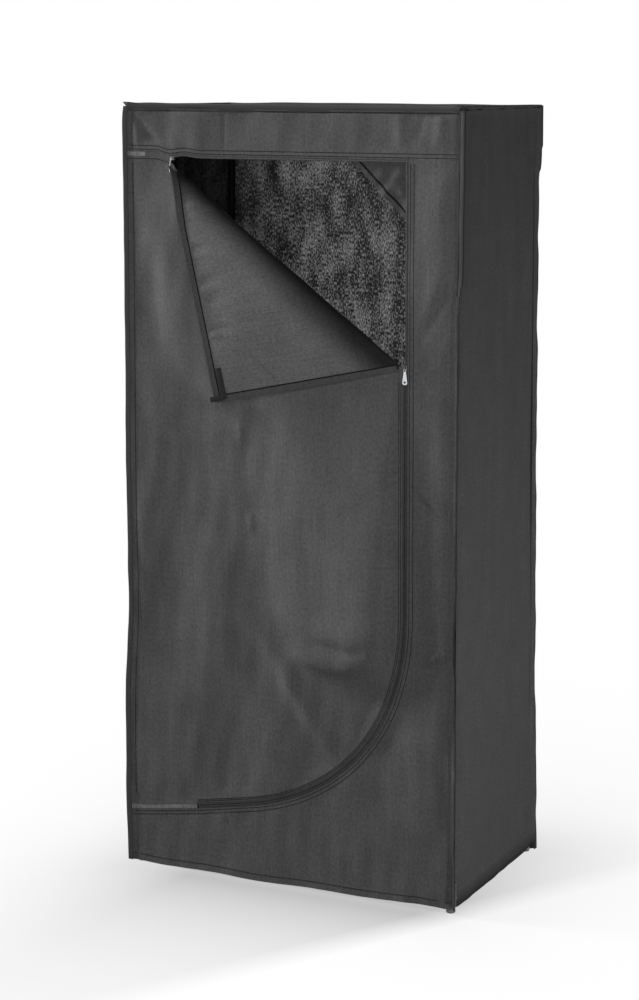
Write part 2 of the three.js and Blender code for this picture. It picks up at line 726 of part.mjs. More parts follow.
// Ray of the shut corner at this angle from the fold line, as x and z of a unit step
function ray(angle) {
  const way = ALONG.clone().multiplyScalar(Math.cos(angle)).addScaledVector(ACROSS, Math.sin(angle));
  return [way.x, way.z];
}

const bulgeRays = Array.from({ length: BULGE_STEPS + 1 }, (_, i) => (BULGE_ANGLE * i) / BULGE_STEPS);

function addFlap() {
  const rays = [...bulgeRays, ...FLAT_RAYS, CORNER_ANGLE];
  const topZ = ZIP_TOP_Z - CLOTH_OFF_ZIP;
  const flap = sheet(rays.length - 1, 1, (u, v, side) => {
    const angle = rays[Math.round(u * (rays.length - 1))];
    const [x, z] = ray(angle);
    const rise = foldDirection(angle).z;
    const cut = rise > 0 ? (DOOR_TOP_CUT - APEX.z) / rise : Infinity;
    const distance = v ? Math.min((topZ - APEX.z) / z, cut) : POINT_TRIM;
    return folded(APEX.x + x * distance, APEX.z + z * distance, (side - 0.5) * CLOTH);
  });
  add('door_flap', flap.translate(0, -FLAP_STANDS_OFF, 0), coverCloth());
  add('flap_zip_tape', flapTape().translate(0, -FLAP_STANDS_OFF, 0), tapeCloth());
}

// Tape along the flap's top and side edges, cut to the rays of the cone where it bends
function flapTape() {
  const first = bulgeRays.find((angle) =>
    APEX.z + ((ZIP_TOP_Z - APEX.z) / ray(angle)[1]) * foldDirection(angle).z < DOOR_TOP_CUT);
  const rays = bulgeRays.filter((angle) => angle >= first);
  const lineAt = (off) => {
    const z = ZIP_TOP_Z - off;
    const top = rays.map((angle) => {
      const [rx, rz] = ray(angle);
      return [APEX.x + ((z - APEX.z) * rx) / rz, z];
    });
    return [...top, [ZIP_X - off, z], [ZIP_X - off, APEX.z + POINT_TRIM]];
  };
  const lines = TAPE_SECTION.map(([off]) => lineAt(off));
  const behind = TAPE_Y - APEX.y;
  const sections = lines[0].map((_, s) =>
    TAPE_SECTION.map(([, out], i) => folded(lines[i][s][0], lines[i][s][1], behind - out)));
  return loft(sections, TAPE_CAP);
}

// Gusset sewn behind the top right corner; its outer edges come forward to the cloth
function addGusset() {
  const right = ZIP_X + GUSSET_MARGIN;
  const top = ZIP_TOP_Z + GUSSET_MARGIN;
  const clear = TAPE_Y + TAPE_HALF + GUSSET_CLEAR;
  const seam = TAPE_Y + TAPE_HALF + GUSSET_SEAM - CLOTH;
  const points = [
    [GUSSET_LEFT, ZIP_TOP_Z + 5], [ZIP_X + 5, GUSSET_LOW],
    [GUSSET_LEFT - GUSSET_MARGIN, top], [right, GUSSET_LOW - GUSSET_MARGIN],
  ];
  const grid = [
    [points[0], points[2]],
    [[ZIP_X + 5, ZIP_TOP_Z + 5], [right, top]],
    [points[1], points[3]],
  ];
  const panel = outline([points[0], [ZIP_X + 5, ZIP_TOP_Z + 5], points[1]]);
  const flat = frontPlate(panel, clear, CLOTH);
  const rim = sheet(2, 1, (u, v, side) => {
    const [x, z] = grid[Math.round(u * 2)][v];
    return new THREE.Vector3(x, (v ? seam : clear) + side * CLOTH, z);
  });
  add('corner_gusset', fromManifold(toManifold(flat).add(toManifold(rim))), coverCloth());
}

// Slider and pull; x is the way of travel, z across it, and -y outward of the row's middle

function slider() {
  const halfPlate = [
    [-SLIDER_HALF, SLIDER_NECK[0]], [-SLIDER_HALF + SLIDER_NECK[2], SLIDER_NECK[1]],
    [0, SLIDER_HALF_WIDTH], [SLIDER_HALF - SLIDER_MOUTH[1], SLIDER_HALF_WIDTH],
    [SLIDER_HALF, SLIDER_MOUTH[0]],
  ];
  const plateShape = outline([...halfPlate, ...halfPlate.map(([x, z]) => [x, -z]).reverse()]);
  const front = frontPlate(plateShape, -SLIDER_IN - SLIDER_PLATE, SLIDER_PLATE);
  const rear = frontPlate(plateShape, SLIDER_IN, SLIDER_PLATE);
  const overlap = 0.1; // parts of the casting run into each other by this much
  const wedge = new THREE.BoxGeometry(
    SLIDER_WEDGE_LENGTH, 2 * (SLIDER_IN + overlap), 2 * SLIDER_WEDGE).translate(SLIDER_WEDGE_AT, 0, 0);
  const cheekOut = SLIDER_IN + overlap - CHEEK_DEPTH / 2;
  const cheekAcross = SLIDER_HALF_WIDTH - CHEEK_THICK / 2;
  const cheeks = [];
  for (const across of [-1, 1]) {
    for (const out of [-1, 1]) {
      const cheek = new THREE.BoxGeometry(CHEEK_LENGTH, CHEEK_DEPTH, CHEEK_THICK);
      cheeks.push(cheek.translate(0, out * cheekOut, across * cheekAcross));
    }
  }
  const root = -SLIDER_IN - SLIDER_PLATE + overlap;
  const crown = -BRIDGE_TOP;
  const outerArch = [
    [BRIDGE_FOOT_X, root], [BRIDGE_FOOT_X, crown + BRIDGE_CORNER], [BRIDGE_CROWN_X, crown],
  ];
  const innerArch = [
    [BRIDGE_CROWN_X - BRIDGE_BAR / 2, crown + BRIDGE_BAR],
    [BRIDGE_FOOT_X - BRIDGE_BAR, crown + BRIDGE_BAR / 2 + BRIDGE_CORNER],
    [BRIDGE_FOOT_X - BRIDGE_BAR, root],
  ];
  const halfArch = [...outerArch.reverse(), ...innerArch.reverse()];
  const arch = outline([...halfArch, ...halfArch.map(([x, z]) => [-x, z]).reverse()]);
  const bridge = new THREE.ExtrudeGeometry(arch, { depth: 2 * BRIDGE_HALF, bevelEnabled: false })
    .translate(0, 0, -BRIDGE_HALF);
  return fromManifold(union([front, rear, wedge, ...cheeks, bridge]));
}

// Hangs along -z from its bar at the origin, with its flat faces along y
function pull() {
  const end = -PULL_LENGTH;
  const halfShape = [
    [PULL_TOP_HALF - PULL_TOP_CORNER, PULL_BAR], [PULL_TOP_HALF, 0],
    [PULL_SHOULDER_HALF, -PULL_SLOT_END - PULL_WAIST],
    [PULL_END_HALF, end + PULL_END_LENGTH], [PULL_END_HALF, end + PULL_END_ROUND],
    [PULL_END_HALF - PULL_END_ROUND, end],
  ];
  const shape = outline([...halfShape, ...halfShape.map(([x, z]) => [-x, z]).reverse()]);
  shape.holes.push(new THREE.Path([
    [-PULL_SLOT_HALF, -PULL_BAR], [PULL_SLOT_HALF, -PULL_BAR],
    [PULL_SLOT_HALF, -PULL_SLOT_END], [-PULL_SLOT_HALF, -PULL_SLOT_END],
  ].map(([x, z]) => new THREE.Vector2(x, z))));
  const hole = Array.from({ length: 10 }, (_, i) => new THREE.Vector2(
    PULL_HOLE_R * Math.sin((i * Math.PI) / 5), PULL_HOLE_R * Math.cos((i * Math.PI) / 5) - PULL_HOLE_AT));
  shape.holes.push(new THREE.Path(hole));
  return frontPlate(shape, -PULL_THICK / 2, PULL_THICK);
}

function addSliders() {
  const top = add('top_zip_slider', slider(), brightMetal());
  top.position.set(TOP_SLIDER_X, TAPE_Y, ZIP_TOP_Z);
  const side = add('side_zip_slider', slider(), brightMetal());
  side.position.set(ZIP_X, TAPE_Y, SIDE_SLIDER_Z);
  side.rotation.y = -Math.PI / 2;
  // The side pull hangs flat, its bar under the bridge
  const sidePull = add('side_zip_pull', pull(), brightMetal());
  const underBridge = (SLIDER_IN + SLIDER_PLATE + BRIDGE_TOP - BRIDGE_BAR) / 2;
  sidePull.position.set(ZIP_X, TAPE_Y - underBridge, SIDE_SLIDER_Z - SIDE_PULL_DROP);
  // The top pull hangs edge on from the middle of its bridge and leans off the cloth
  const edgeOn = pull().rotateZ(Math.PI / 2).translate(0, 0, TOP_PULL_RISE);
  const topPull = add('top_zip_pull', edgeOn, brightMetal());
  topPull.position.set(TOP_SLIDER_X, TAPE_Y - BRIDGE_TOP + BRIDGE_BAR / 2, ZIP_TOP_Z);
  topPull.rotation.x = -PULL_LEAN;
}

for (const corner of ['front_left', 'front_right', 'back_left', 'back_right']) {
  addPost(corner, ...cornerPlace(corner));
}
addRails();
addConnectors();
addBrackets();
addFeet();
addWidePanels();
addFront();
addSeams();
addTails();
addFixedTapes();
addFlap();
addGusset();
addSliders();

wardrobe.position.y = CABINET_SET_BACK;

export default wardrobe;
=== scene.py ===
"""Looks of a portable wardrobe: a cloth cover with a zipped door over a frame of steel tubes.

Shapes are worked out in millimetres from the middle of the cabinet, with +X to the right,
+Y to the back and +Z up, and are put into the frame in metres.
"""
import logging
import math
from dataclasses import dataclass, field, replace
from enum import Enum

import bmesh
import bpy
import numpy as np
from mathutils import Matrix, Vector


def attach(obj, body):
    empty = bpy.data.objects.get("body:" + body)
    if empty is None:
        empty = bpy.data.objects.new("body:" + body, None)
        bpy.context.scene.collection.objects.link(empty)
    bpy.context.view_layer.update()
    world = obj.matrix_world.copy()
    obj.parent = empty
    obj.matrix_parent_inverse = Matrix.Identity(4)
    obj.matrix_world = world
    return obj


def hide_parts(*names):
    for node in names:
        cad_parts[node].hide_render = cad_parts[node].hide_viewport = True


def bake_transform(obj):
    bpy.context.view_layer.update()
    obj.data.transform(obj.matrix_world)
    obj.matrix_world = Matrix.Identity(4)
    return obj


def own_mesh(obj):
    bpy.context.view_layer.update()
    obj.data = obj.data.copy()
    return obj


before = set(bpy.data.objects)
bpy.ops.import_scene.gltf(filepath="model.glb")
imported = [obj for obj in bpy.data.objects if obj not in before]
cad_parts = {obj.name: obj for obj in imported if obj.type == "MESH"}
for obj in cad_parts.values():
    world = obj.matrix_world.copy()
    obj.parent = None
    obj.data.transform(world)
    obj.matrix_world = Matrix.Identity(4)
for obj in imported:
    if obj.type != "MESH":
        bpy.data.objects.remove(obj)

Array = np.ndarray
log = logging.getLogger("wardrobe")

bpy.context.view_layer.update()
MM = 0.001
SET_BACK = 34.0  # the cabinet's middle stands this far back of the frame's origin
CLOTH = 0.6  # thickness of the cover's cloth
SHARP = math.radians(38)  # edges that turn by more are rounded, or stay sharp
LEFT, RIGHT = -1, 1
FRONT, BACK = -1, 1
Object = bpy.types.Object
Node = bpy.types.Node
Socket = bpy.types.NodeSocket


# Arrays

def smooth(value: Array, low: float, high: float) -> Array:
    """Goes from 0 at low to 1 at high along 3t^2 - 2t^3."""
    t = np.clip((value - low) / (high - low), 0.0, 1.0)
    return t * t * (3.0 - 2.0 * t)


def bell(distance: Array, width: float) -> Array:
    """exp(-(distance / width)^2), a soft hump of height 1."""
    return np.exp(-(distance / width) ** 2)


def unit(vectors: Array) -> Array:
    """Vectors of length 1 along the last axis."""
    return vectors / np.maximum(np.linalg.norm(vectors, axis=-1, keepdims=True), 1e-12)


def along(line: Array) -> Array:
    """Unit directions of travel at the points of a line."""
    return unit(np.gradient(line, axis=0))


def run_of(line: Array) -> Array:
    """Length run from the start of a line to each of its points."""
    return np.concatenate([[0.0], np.cumsum(np.linalg.norm(np.diff(line, axis=0), axis=1))])


def evenly(line: Array, pitch: float) -> Array:
    """Points of a line at equal steps of its length.

    Args:
        line: its points.
        pitch: about how far apart the new points are.

    Returns:
        The new points, with both ends.
    """
    run = run_of(line)
    count = max(2, int(round(run[-1] / pitch)) + 1)
    at = np.linspace(0.0, run[-1], count)
    return np.column_stack([np.interp(at, run, line[:, k]) for k in range(line.shape[1])])


def spaced(start: float, *spans: tuple[float, int]) -> Array:
    """Numbers that are even within each span.

    Args:
        start: the first number.
        spans: the end of each span and its count of steps.

    Returns:
        The numbers from start to the last span's end.
    """
    parts = []
    for end, count in spans:
        parts.append(np.linspace(start, end, count, endpoint=False))
        start = end
    return np.append(np.concatenate(parts), start)


def rounded(points: tuple, steps: int = 6) -> Array:
    """A smooth line through a few points, by Catmull-Rom cubics.

    Args:
        points: places that the line goes through.
        steps: how many points the line has between two of them.

    Returns:
        The line's points.
    """
    p = np.array(points, float)
    if len(p) < 3:
        return evenly(p, np.linalg.norm(p[1] - p[0]) / steps)
    p = np.vstack([2 * p[0] - p[1], p, 2 * p[-1] - p[-2]])
    t = np.linspace(0.0, 1.0, steps, endpoint=False)[:, None]
    parts = []
    for a, b, c, d in zip(p[:-3], p[1:-2], p[2:-1], p[3:]):
        parts.append(0.5 * (2 * b + (c - a) * t + (2 * a - 5 * b + 4 * c - d) * t**2
                            + (3 * b - a - 3 * c + d) * t**3))
    return np.vstack([*parts, p[-2:-1]])


def waves(x: Array, z: Array, seed: int, length: float, stretch: float = 1.0,
          count: int = 9) -> Array:
    """Soft random relief of about -1 to 1: a sum of cosines in random directions.

    Args:
        x, z: places in millimetres.
        seed: start of the random draws.
        length: middle wave length.
        stretch: how many times longer the waves run in z than in x.
        count: number of cosines.

    Returns:
        The sum, scaled by the root of the count.
    """
    draw = np.random.default_rng(seed)
    total = np.zeros(np.broadcast(x, z).shape)
    for angle, share, phase in draw.random((count, 3)):
        step = 2 * math.pi / (length * (0.6 + 0.9 * share))
        way = 2 * math.pi * angle
        run = x * math.cos(way) + z * math.sin(way) / stretch
        total += np.cos(step * run + 2 * math.pi * phase)
    return total / math.sqrt(count)


# Meshes

def grid_faces(rows: int, columns: int, ring: bool = False) -> Array:
    """Four-sided faces of a grid whose points are numbered row by row.

    Args:
        rows, columns: number of points each way.
        ring: joins the last column to the first.

    Returns:
        Faces that run round from column to row.
    """
    index = np.arange(rows * columns).reshape(rows, columns)
    if ring:
        index = np.hstack([index, index[:, :1]])
    corners = [index[:-1, :-1], index[:-1, 1:], index[1:, 1:], index[1:, :-1]]
    return np.stack(corners, axis=-1).reshape(-1, 4)


def closing_faces(rows: int, columns: int) -> Array:
    """Faces from the last row of a grid with joined columns back to its first.

    Args:
        rows, columns: numbers of points of the grid.

    Returns:
        Corners of each face.
    """
    first = np.arange(columns)
    last = first + (rows - 1) * columns
    return np.stack([last, np.roll(last, -1), np.roll(first, -1), first], axis=-1)


def linked(name: str, data: bpy.types.ID) -> Object:
    """A new object of the scene that holds this data.

    Args:
        name: name of the object.
        data: its mesh, camera or lamp.

    Returns:
        The new object.
    """
    made = bpy.data.objects.new(name, data)
    bpy.context.scene.collection.objects.link(made)
    return made


def piece(name: str, points: Array, faces: list, uv: Array | None = None) -> Object:
    """Makes a smooth object at the origin from points in millimetres of the cabinet.

    Args:
        name: name of the piece.
        points: places, with any leading shape.
        faces: corner numbers of each face.
        uv: place on the flat cloth in metres for each point, for its weave.

    Returns:
        The new object.
    """
    mesh = bpy.data.meshes.new(name)
    places = (points.reshape(-1, 3) + (0.0, SET_BACK, 0.0)) * MM
    mesh.from_pydata(places.tolist(), [], [list(face) for face in faces])
    if uv is not None:
        corner = np.empty(len(mesh.loops), int)
        mesh.loops.foreach_get("vertex_index", corner)
        layer = mesh.uv_layers.new(name="cloth")
        layer.data.foreach_set("uv", uv.reshape(-1, 2)[corner].astype(np.float32).ravel())
    mesh.polygons.foreach_set("use_smooth", np.ones(len(mesh.polygons), bool))
    mesh.update()
    return linked(name, mesh)


def paint(made: Object, finish: Array) -> None:
    """Gives each face the finish of this number, or the second one where it is true."""
    made.data.polygons.foreach_set("material_index", finish.ravel().astype(np.int32))


def turn_faces_out(made: Object) -> Object:
    """Turns the faces of closed shells outwards.

    Args:
        made: the object.

    Returns:
        The same object.
    """
    work = bmesh.new()
    work.from_mesh(made.data)
    bmesh.ops.recalc_face_normals(work, faces=work.faces)
    work.to_mesh(made.data)
    work.free()
    return made


def turn_front(made: Object) -> None:
    """Turns a sheet of the front round if its faces look to the back."""
    if sum(face.normal.y for face in made.data.polygons) > 0:
        made.data.flip_normals()


def swept(path: Array, side: Array, out: Array, profile: Array,
          ring: bool = False) -> tuple[Array, list]:
    """Closed bar: a profile carried along a path.

    Each point is path + profile_side * side + profile_out * out.

    Args:
        path: n places.
        side, out: n directions each, or one for all.
        profile: m pairs of side and out that run round the section.
        ring: joins the last section to the first instead of capping both.

    Returns:
        Points and faces.
    """
    side, out = np.broadcast_to(side, path.shape), np.broadcast_to(out, path.shape)
    across, outward = profile[None, :, :1], profile[None, :, 1:]
    points = path[:, None] + across * side[:, None] + outward * out[:, None]
    n, m = points.shape[:2]
    faces = grid_faces(n, m, ring=True).tolist()
    if ring:
        faces += closing_faces(n, m).tolist()
    else:
        faces += [list(range(m))[::-1], list(range((n - 1) * m, n * m))]
    return points.reshape(-1, 3), faces


def repeated(points: Array, faces: list, places: Array, axes: Array) -> tuple[Array, list]:
    """One small shape set at many places.

    Args:
        points: the shape's k places.
        faces: its faces.
        places: n places.
        axes: n by 3 by 3, the directions that the shape's own x, y and z take.

    Returns:
        Points and faces of all copies.
    """
    copies = places[:, None] + np.einsum("kc,ncd->nkd", points, axes)
    step = len(points)
    every = [[c + i * step for c in face] for i in range(len(places)) for face in faces]
    return copies.reshape(-1, 3), every


def grain(length: float, width: float, height: float) -> tuple[Array, list]:
    """A small six-sided bead along x with pointed ends, for stitches and zip teeth.

    Args:
        length, width, height: its size. The middle 0.6 of its length is straight.

    Returns:
        Points and faces.
    """
    angle = np.arange(6) * math.pi / 3
    y, z = np.cos(angle) * width / 2, np.sin(angle) * height / 2
    rings = [np.column_stack([np.full(6, way * length * 0.3), y, z]) for way in (-1, 1)]
    tips = np.array([[-length / 2, 0, 0], [length / 2, 0, 0]])
    faces = grid_faces(2, 6, ring=True)[:, ::-1].tolist()
    faces += [[12, i, (i + 1) % 6] for i in range(6)]
    faces += [[13, 6 + (i + 1) % 6, 6 + i] for i in range(6)]
    return np.vstack([*rings, tips]), faces


def solidify(made: Object, thickness: float = CLOTH) -> Object:
    """Gives a sheet its thickness behind the face that was worked out, with sharp rims.

    Args:
        made: the sheet. Its back takes the second finish, if it has one.
        thickness: in millimetres.

    Returns:
        The same object.
    """
    mesh = made.data
    edge_of = np.zeros(len(mesh.loops), dtype=np.int32)
    mesh.loops.foreach_get("edge_index", edge_of)
    rim = np.bincount(edge_of, minlength=len(mesh.edges)) == 1
    sharp = mesh.attributes.get("sharp_edge")
    sharp = sharp or mesh.attributes.new("sharp_edge", "BOOLEAN", "EDGE")
    sharp.data.foreach_set("value", rim)
    wall = made.modifiers.new("thickness", "SOLIDIFY")
    wall.thickness = thickness * MM
    wall.offset = -1
    wall.material_offset = int(len(mesh.materials) > 1)
    return made


def bevel(made: Object, width: float, segments: int = 2) -> Object:
    """Rounds an object's sharp edges.

    Args:
        made: the object.
        width: of the rounding, in millimetres.
        segments: faces across it.

    Returns:
        The same object.
    """
    edge = made.modifiers.new("edges", "BEVEL")
    edge.width = width * MM
    edge.segments = segments
    edge.limit_method = "ANGLE"
    edge.angle_limit = SHARP
    return made


def rebuilt(name: str, node: str, width: float) -> Object:
    """A merged and rounded copy of a solid of the frame, which it stands for.

    Args:
        name: name of the new piece.
        node: the frame's node.
        width: radius of its edges in millimetres.

    Returns:
        The new object.
    """
    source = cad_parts[node]
    mesh = source.data.copy()
    mesh.name = name
    mesh.transform(source.matrix_world)
    work = bmesh.new()
    work.from_mesh(mesh)
    bmesh.ops.remove_doubles(work, verts=work.verts, dist=2e-5)
    bmesh.ops.dissolve_limit(work, angle_limit=math.radians(1), verts=work.verts, edges=work.edges)
    for face in work.faces:
        face.smooth = True
    for edge in work.edges:
        edge.smooth = edge.calc_face_angle(0.0) < SHARP
    work.to_mesh(mesh)
    work.free()
    mesh.materials.clear()
    return bevel(linked(name, mesh), width)


# Finishes

class Tree:
    """A node tree and short calls for filling it."""

    def __init__(self, tree: bpy.types.NodeTree) -> None:
        """Keeps the tree."""
        self.tree = tree

    def fill(self, node: Node, **values: object) -> Node:
        """Sets a node's fields, or its input sockets where a name isn't a field.

        Args:
            node: the node.
            values: settings, numbers, or sockets to link. An underscore stands for a space.

        Returns:
            The same node.
        """
        for key, value in values.items():
            if hasattr(node, key):
                setattr(node, key, value)
            elif isinstance(value, Socket):
                self.tree.links.new(value, node.inputs[key.replace("_", " ")])
            else:
                node.inputs[key.replace("_", " ")].default_value = value
        return node

    def add(self, kind: str, **values: object) -> Node:
        """Adds a node and fills it."""
        return self.fill(self.tree.nodes.new(kind), **values)

    def math(self, operation: str, a: object, b: object = 0.0) -> Socket:
        """Result of a Math node on two sockets or numbers.

        Args:
            operation: what it does.
            a, b: its two values.

        Returns:
            Its output.
        """
        node = self.add("ShaderNodeMath", operation=operation)
        for socket, value in zip(node.inputs, (a, b)):
            if isinstance(value, Socket):
                self.tree.links.new(value, socket)
            else:
                socket.default_value = value
        return node.outputs[0]

    def parts(self, vector: Socket) -> tuple[Socket, Socket]:
        """The x and y of a vector."""
        outputs = self.add("ShaderNodeSeparateXYZ", Vector=vector).outputs
        return outputs["X"], outputs["Y"]

    def noise(self, vector: Socket, scale: float, detail: float = 3.0) -> Socket:
        """Value of a Noise Texture."""
        node = self.add("ShaderNodeTexNoise", Vector=vector, Scale=scale, Detail=detail)
        return node.outputs["Fac"]

    def stretched(self, vector: Socket, scale: tuple) -> Socket:
        """A vector scaled along each axis."""
        return self.add("ShaderNodeMapping", Vector=vector, Scale=scale).outputs["Vector"]

    def ramp(self, value: Socket, low: float, high: float, to_low: float, to_high: float) -> Socket:
        """Map Range of a value, held at both ends."""
        return self.add("ShaderNodeMapRange", Value=value, From_Min=low, From_Max=high,
                        To_Min=to_low, To_Max=to_high).outputs["Result"]

    def grey(self, base: tuple | Socket, factor: Socket) -> Socket:
        """A colour or vector multiplied by a factor."""
        node = self.add("ShaderNodeVectorMath", operation="SCALE", Vector=base, Scale=factor)
        return node.outputs[0]

    def spread(self, value: Socket, strength: Socket) -> Socket:
        """How far a value is from one half, times a strength."""
        return self.math("MULTIPLY", self.math("SUBTRACT", value, 0.5), strength)

    def seen(self) -> Socket:
        """1 for rays from the camera, straight or by way of metal and glass, and else 0.

        Returns:
            The output of the Light Path node or of the sum.
        """
        path = self.add("ShaderNodeLightPath").outputs
        mirrored = self.math("MAXIMUM", path["Is Camera Ray"], path["Is Glossy Ray"])
        return self.math("MAXIMUM", mirrored, path["Is Transmission Ray"])

    def bump(self, shader: Node, height: Socket, strength: float, distance: float) -> None:
        """Lets a height bump a shader's normal."""
        node = self.add("ShaderNodeBump", Strength=strength, Distance=distance, Height=height)
        self.fill(shader, Normal=node.outputs["Normal"])


def group(name: str, inputs: dict[str, float],
          outputs: tuple[str, ...]) -> tuple[Tree, dict, Node]:
    """Starts a shader node group with a Vector input, named numbers and named outputs.

    Args:
        name: name of the group.
        inputs: names and defaults of its numbers.
        outputs: names of its outputs.

    Returns:
        The tree, the sockets that bring its inputs, and its output node.
    """
    made = bpy.data.node_groups.new(name, "ShaderNodeTree")
    made.interface.new_socket("Vector", in_out="INPUT", socket_type="NodeSocketVector")
    for key, value in inputs.items():
        socket = made.interface.new_socket(key, in_out="INPUT", socket_type="NodeSocketFloat")
        socket.default_value = value
    for key in outputs:
        made.interface.new_socket(key, in_out="OUTPUT", socket_type="NodeSocketFloat")
    tree = Tree(made)
    return tree, tree.add("NodeGroupInput").outputs, tree.add("NodeGroupOutput")


def layered(tree: Tree, given: dict, layers: tuple) -> tuple[Socket, dict[str, Socket]]:
    """1 + the sum of noises about their means, each times its strength.

    Args:
        tree: the group's tree.
        given: its inputs, with the vector and each strength by name.
        layers: name, stretch in y, scale and detail of each noise.

    Returns:
        The sum, and each noise by name.
    """
    tone, noises = 1.0, {}
    for key, stretch, scale, detail in layers:
        place = tree.stretched(given["Vector"], (1.0, stretch, 1.0))
        noises[key] = tree.noise(place, scale, detail)
        tone = tree.math("ADD", tone, tree.spread(noises[key], given[key]))
    return tone, noises


def fibre_group() -> bpy.types.NodeTree:
    """Felted cloth: fibre speckle, mottling, long streaks and a grid of small pressed dots.

    Tone is 1 + speckle + mottle + streaks + blotches about their means. Height is fibres less
    dots, and the dots are max(0, sin(k (x + y)) sin(k (x - y))).

    Returns:
        The group.
    """
    defaults = {"Speckle": 0.1, "Mottle": 0.1, "Streaks": 0.1, "Blotches": 0.1, "Dots": 1.0}
    tree, given, sink = group("felted_cloth", defaults, ("Tone", "Height"))
    layers = (("Speckle", 0.45, 620.0, 4.0), ("Mottle", 0.7, 210.0, 2.0),
              ("Streaks", 0.035, 240.0, 3.0), ("Blotches", 1.0, 16.0, 4.0))
    tone, noises = layered(tree, given, layers)
    x, y = tree.parts(given["Vector"])
    per_dot = 2 * math.pi / 0.0022
    slanted = [tree.math("SINE", tree.math("MULTIPLY", tree.math(way, x, y), per_dot))
               for way in ("ADD", "SUBTRACT")]
    dots = tree.math("MAXIMUM", tree.math("MULTIPLY", *slanted), 0.0)
    pressed = tree.math("MULTIPLY", dots, given["Dots"])
    tree.fill(sink, Tone=tone, Height=tree.math("SUBTRACT", noises["Speckle"], pressed))
    return tree.tree


def fleece_group() -> bpy.types.NodeTree:
    """Daylight through felted cloth, thick and thin in fibres, clumps and upright bands.

    Tone is max(Least, 1 + fibres + clumps + bands), each about its mean.

    Returns:
        The group.
    """
    defaults = {"Fibres": 13.0, "Clumps": 6.0, "Bands": 3.6, "Least": 0.14}
    tree, given, sink = group("lit_fleece", defaults, ("Tone",))
    layers = (("Fibres", 0.45, 340.0, 3.0), ("Clumps", 0.4, 30.0, 3.0), ("Bands", 0.25, 9.0, 3.0))
    tone, _ = layered(tree, given, layers)
    tree.fill(sink, Tone=tree.math("MAXIMUM", tone, given["Least"]))
    return tree.tree


def moulded_group() -> bpy.types.NodeTree:
    """Fine grain of paint and moulded plastic: a Tone about 1, a Rough about 0 and a Height.

    Returns:
        The group.
    """
    defaults = {"Size": 1.0, "Strength": 0.1}
    tree, given, sink = group("fine_grain", defaults, ("Tone", "Rough", "Height"))
    place = tree.grey(given["Vector"], given["Size"])
    spread = tree.spread(tree.noise(place, 60.0, 4.0), given["Strength"])
    tree.fill(sink, Tone=tree.math("ADD", spread, 1.0), Rough=spread,
              Height=tree.noise(place, 1400.0))
    return tree.tree


def shared(name: str, make: object) -> bpy.types.NodeTree:
    """The node group of this name, made at its first use."""
    return bpy.data.node_groups.get(name) or make()


def plain_material(name: str) -> tuple[bpy.types.Material, Tree, Node]:
    """A material with a Principled shader joined to its output.

    Args:
        name: name of the material.

    Returns:
        The material, its tree and its shader.
    """
    made = bpy.data.materials.new(name)
    made.use_nodes = True
    made.node_tree.nodes.clear()
    tree = Tree(made.node_tree)
    shader = tree.add("ShaderNodeBsdfPrincipled")
    tree.add("ShaderNodeOutputMaterial", Surface=shader.outputs[0])
    return made, tree, shader


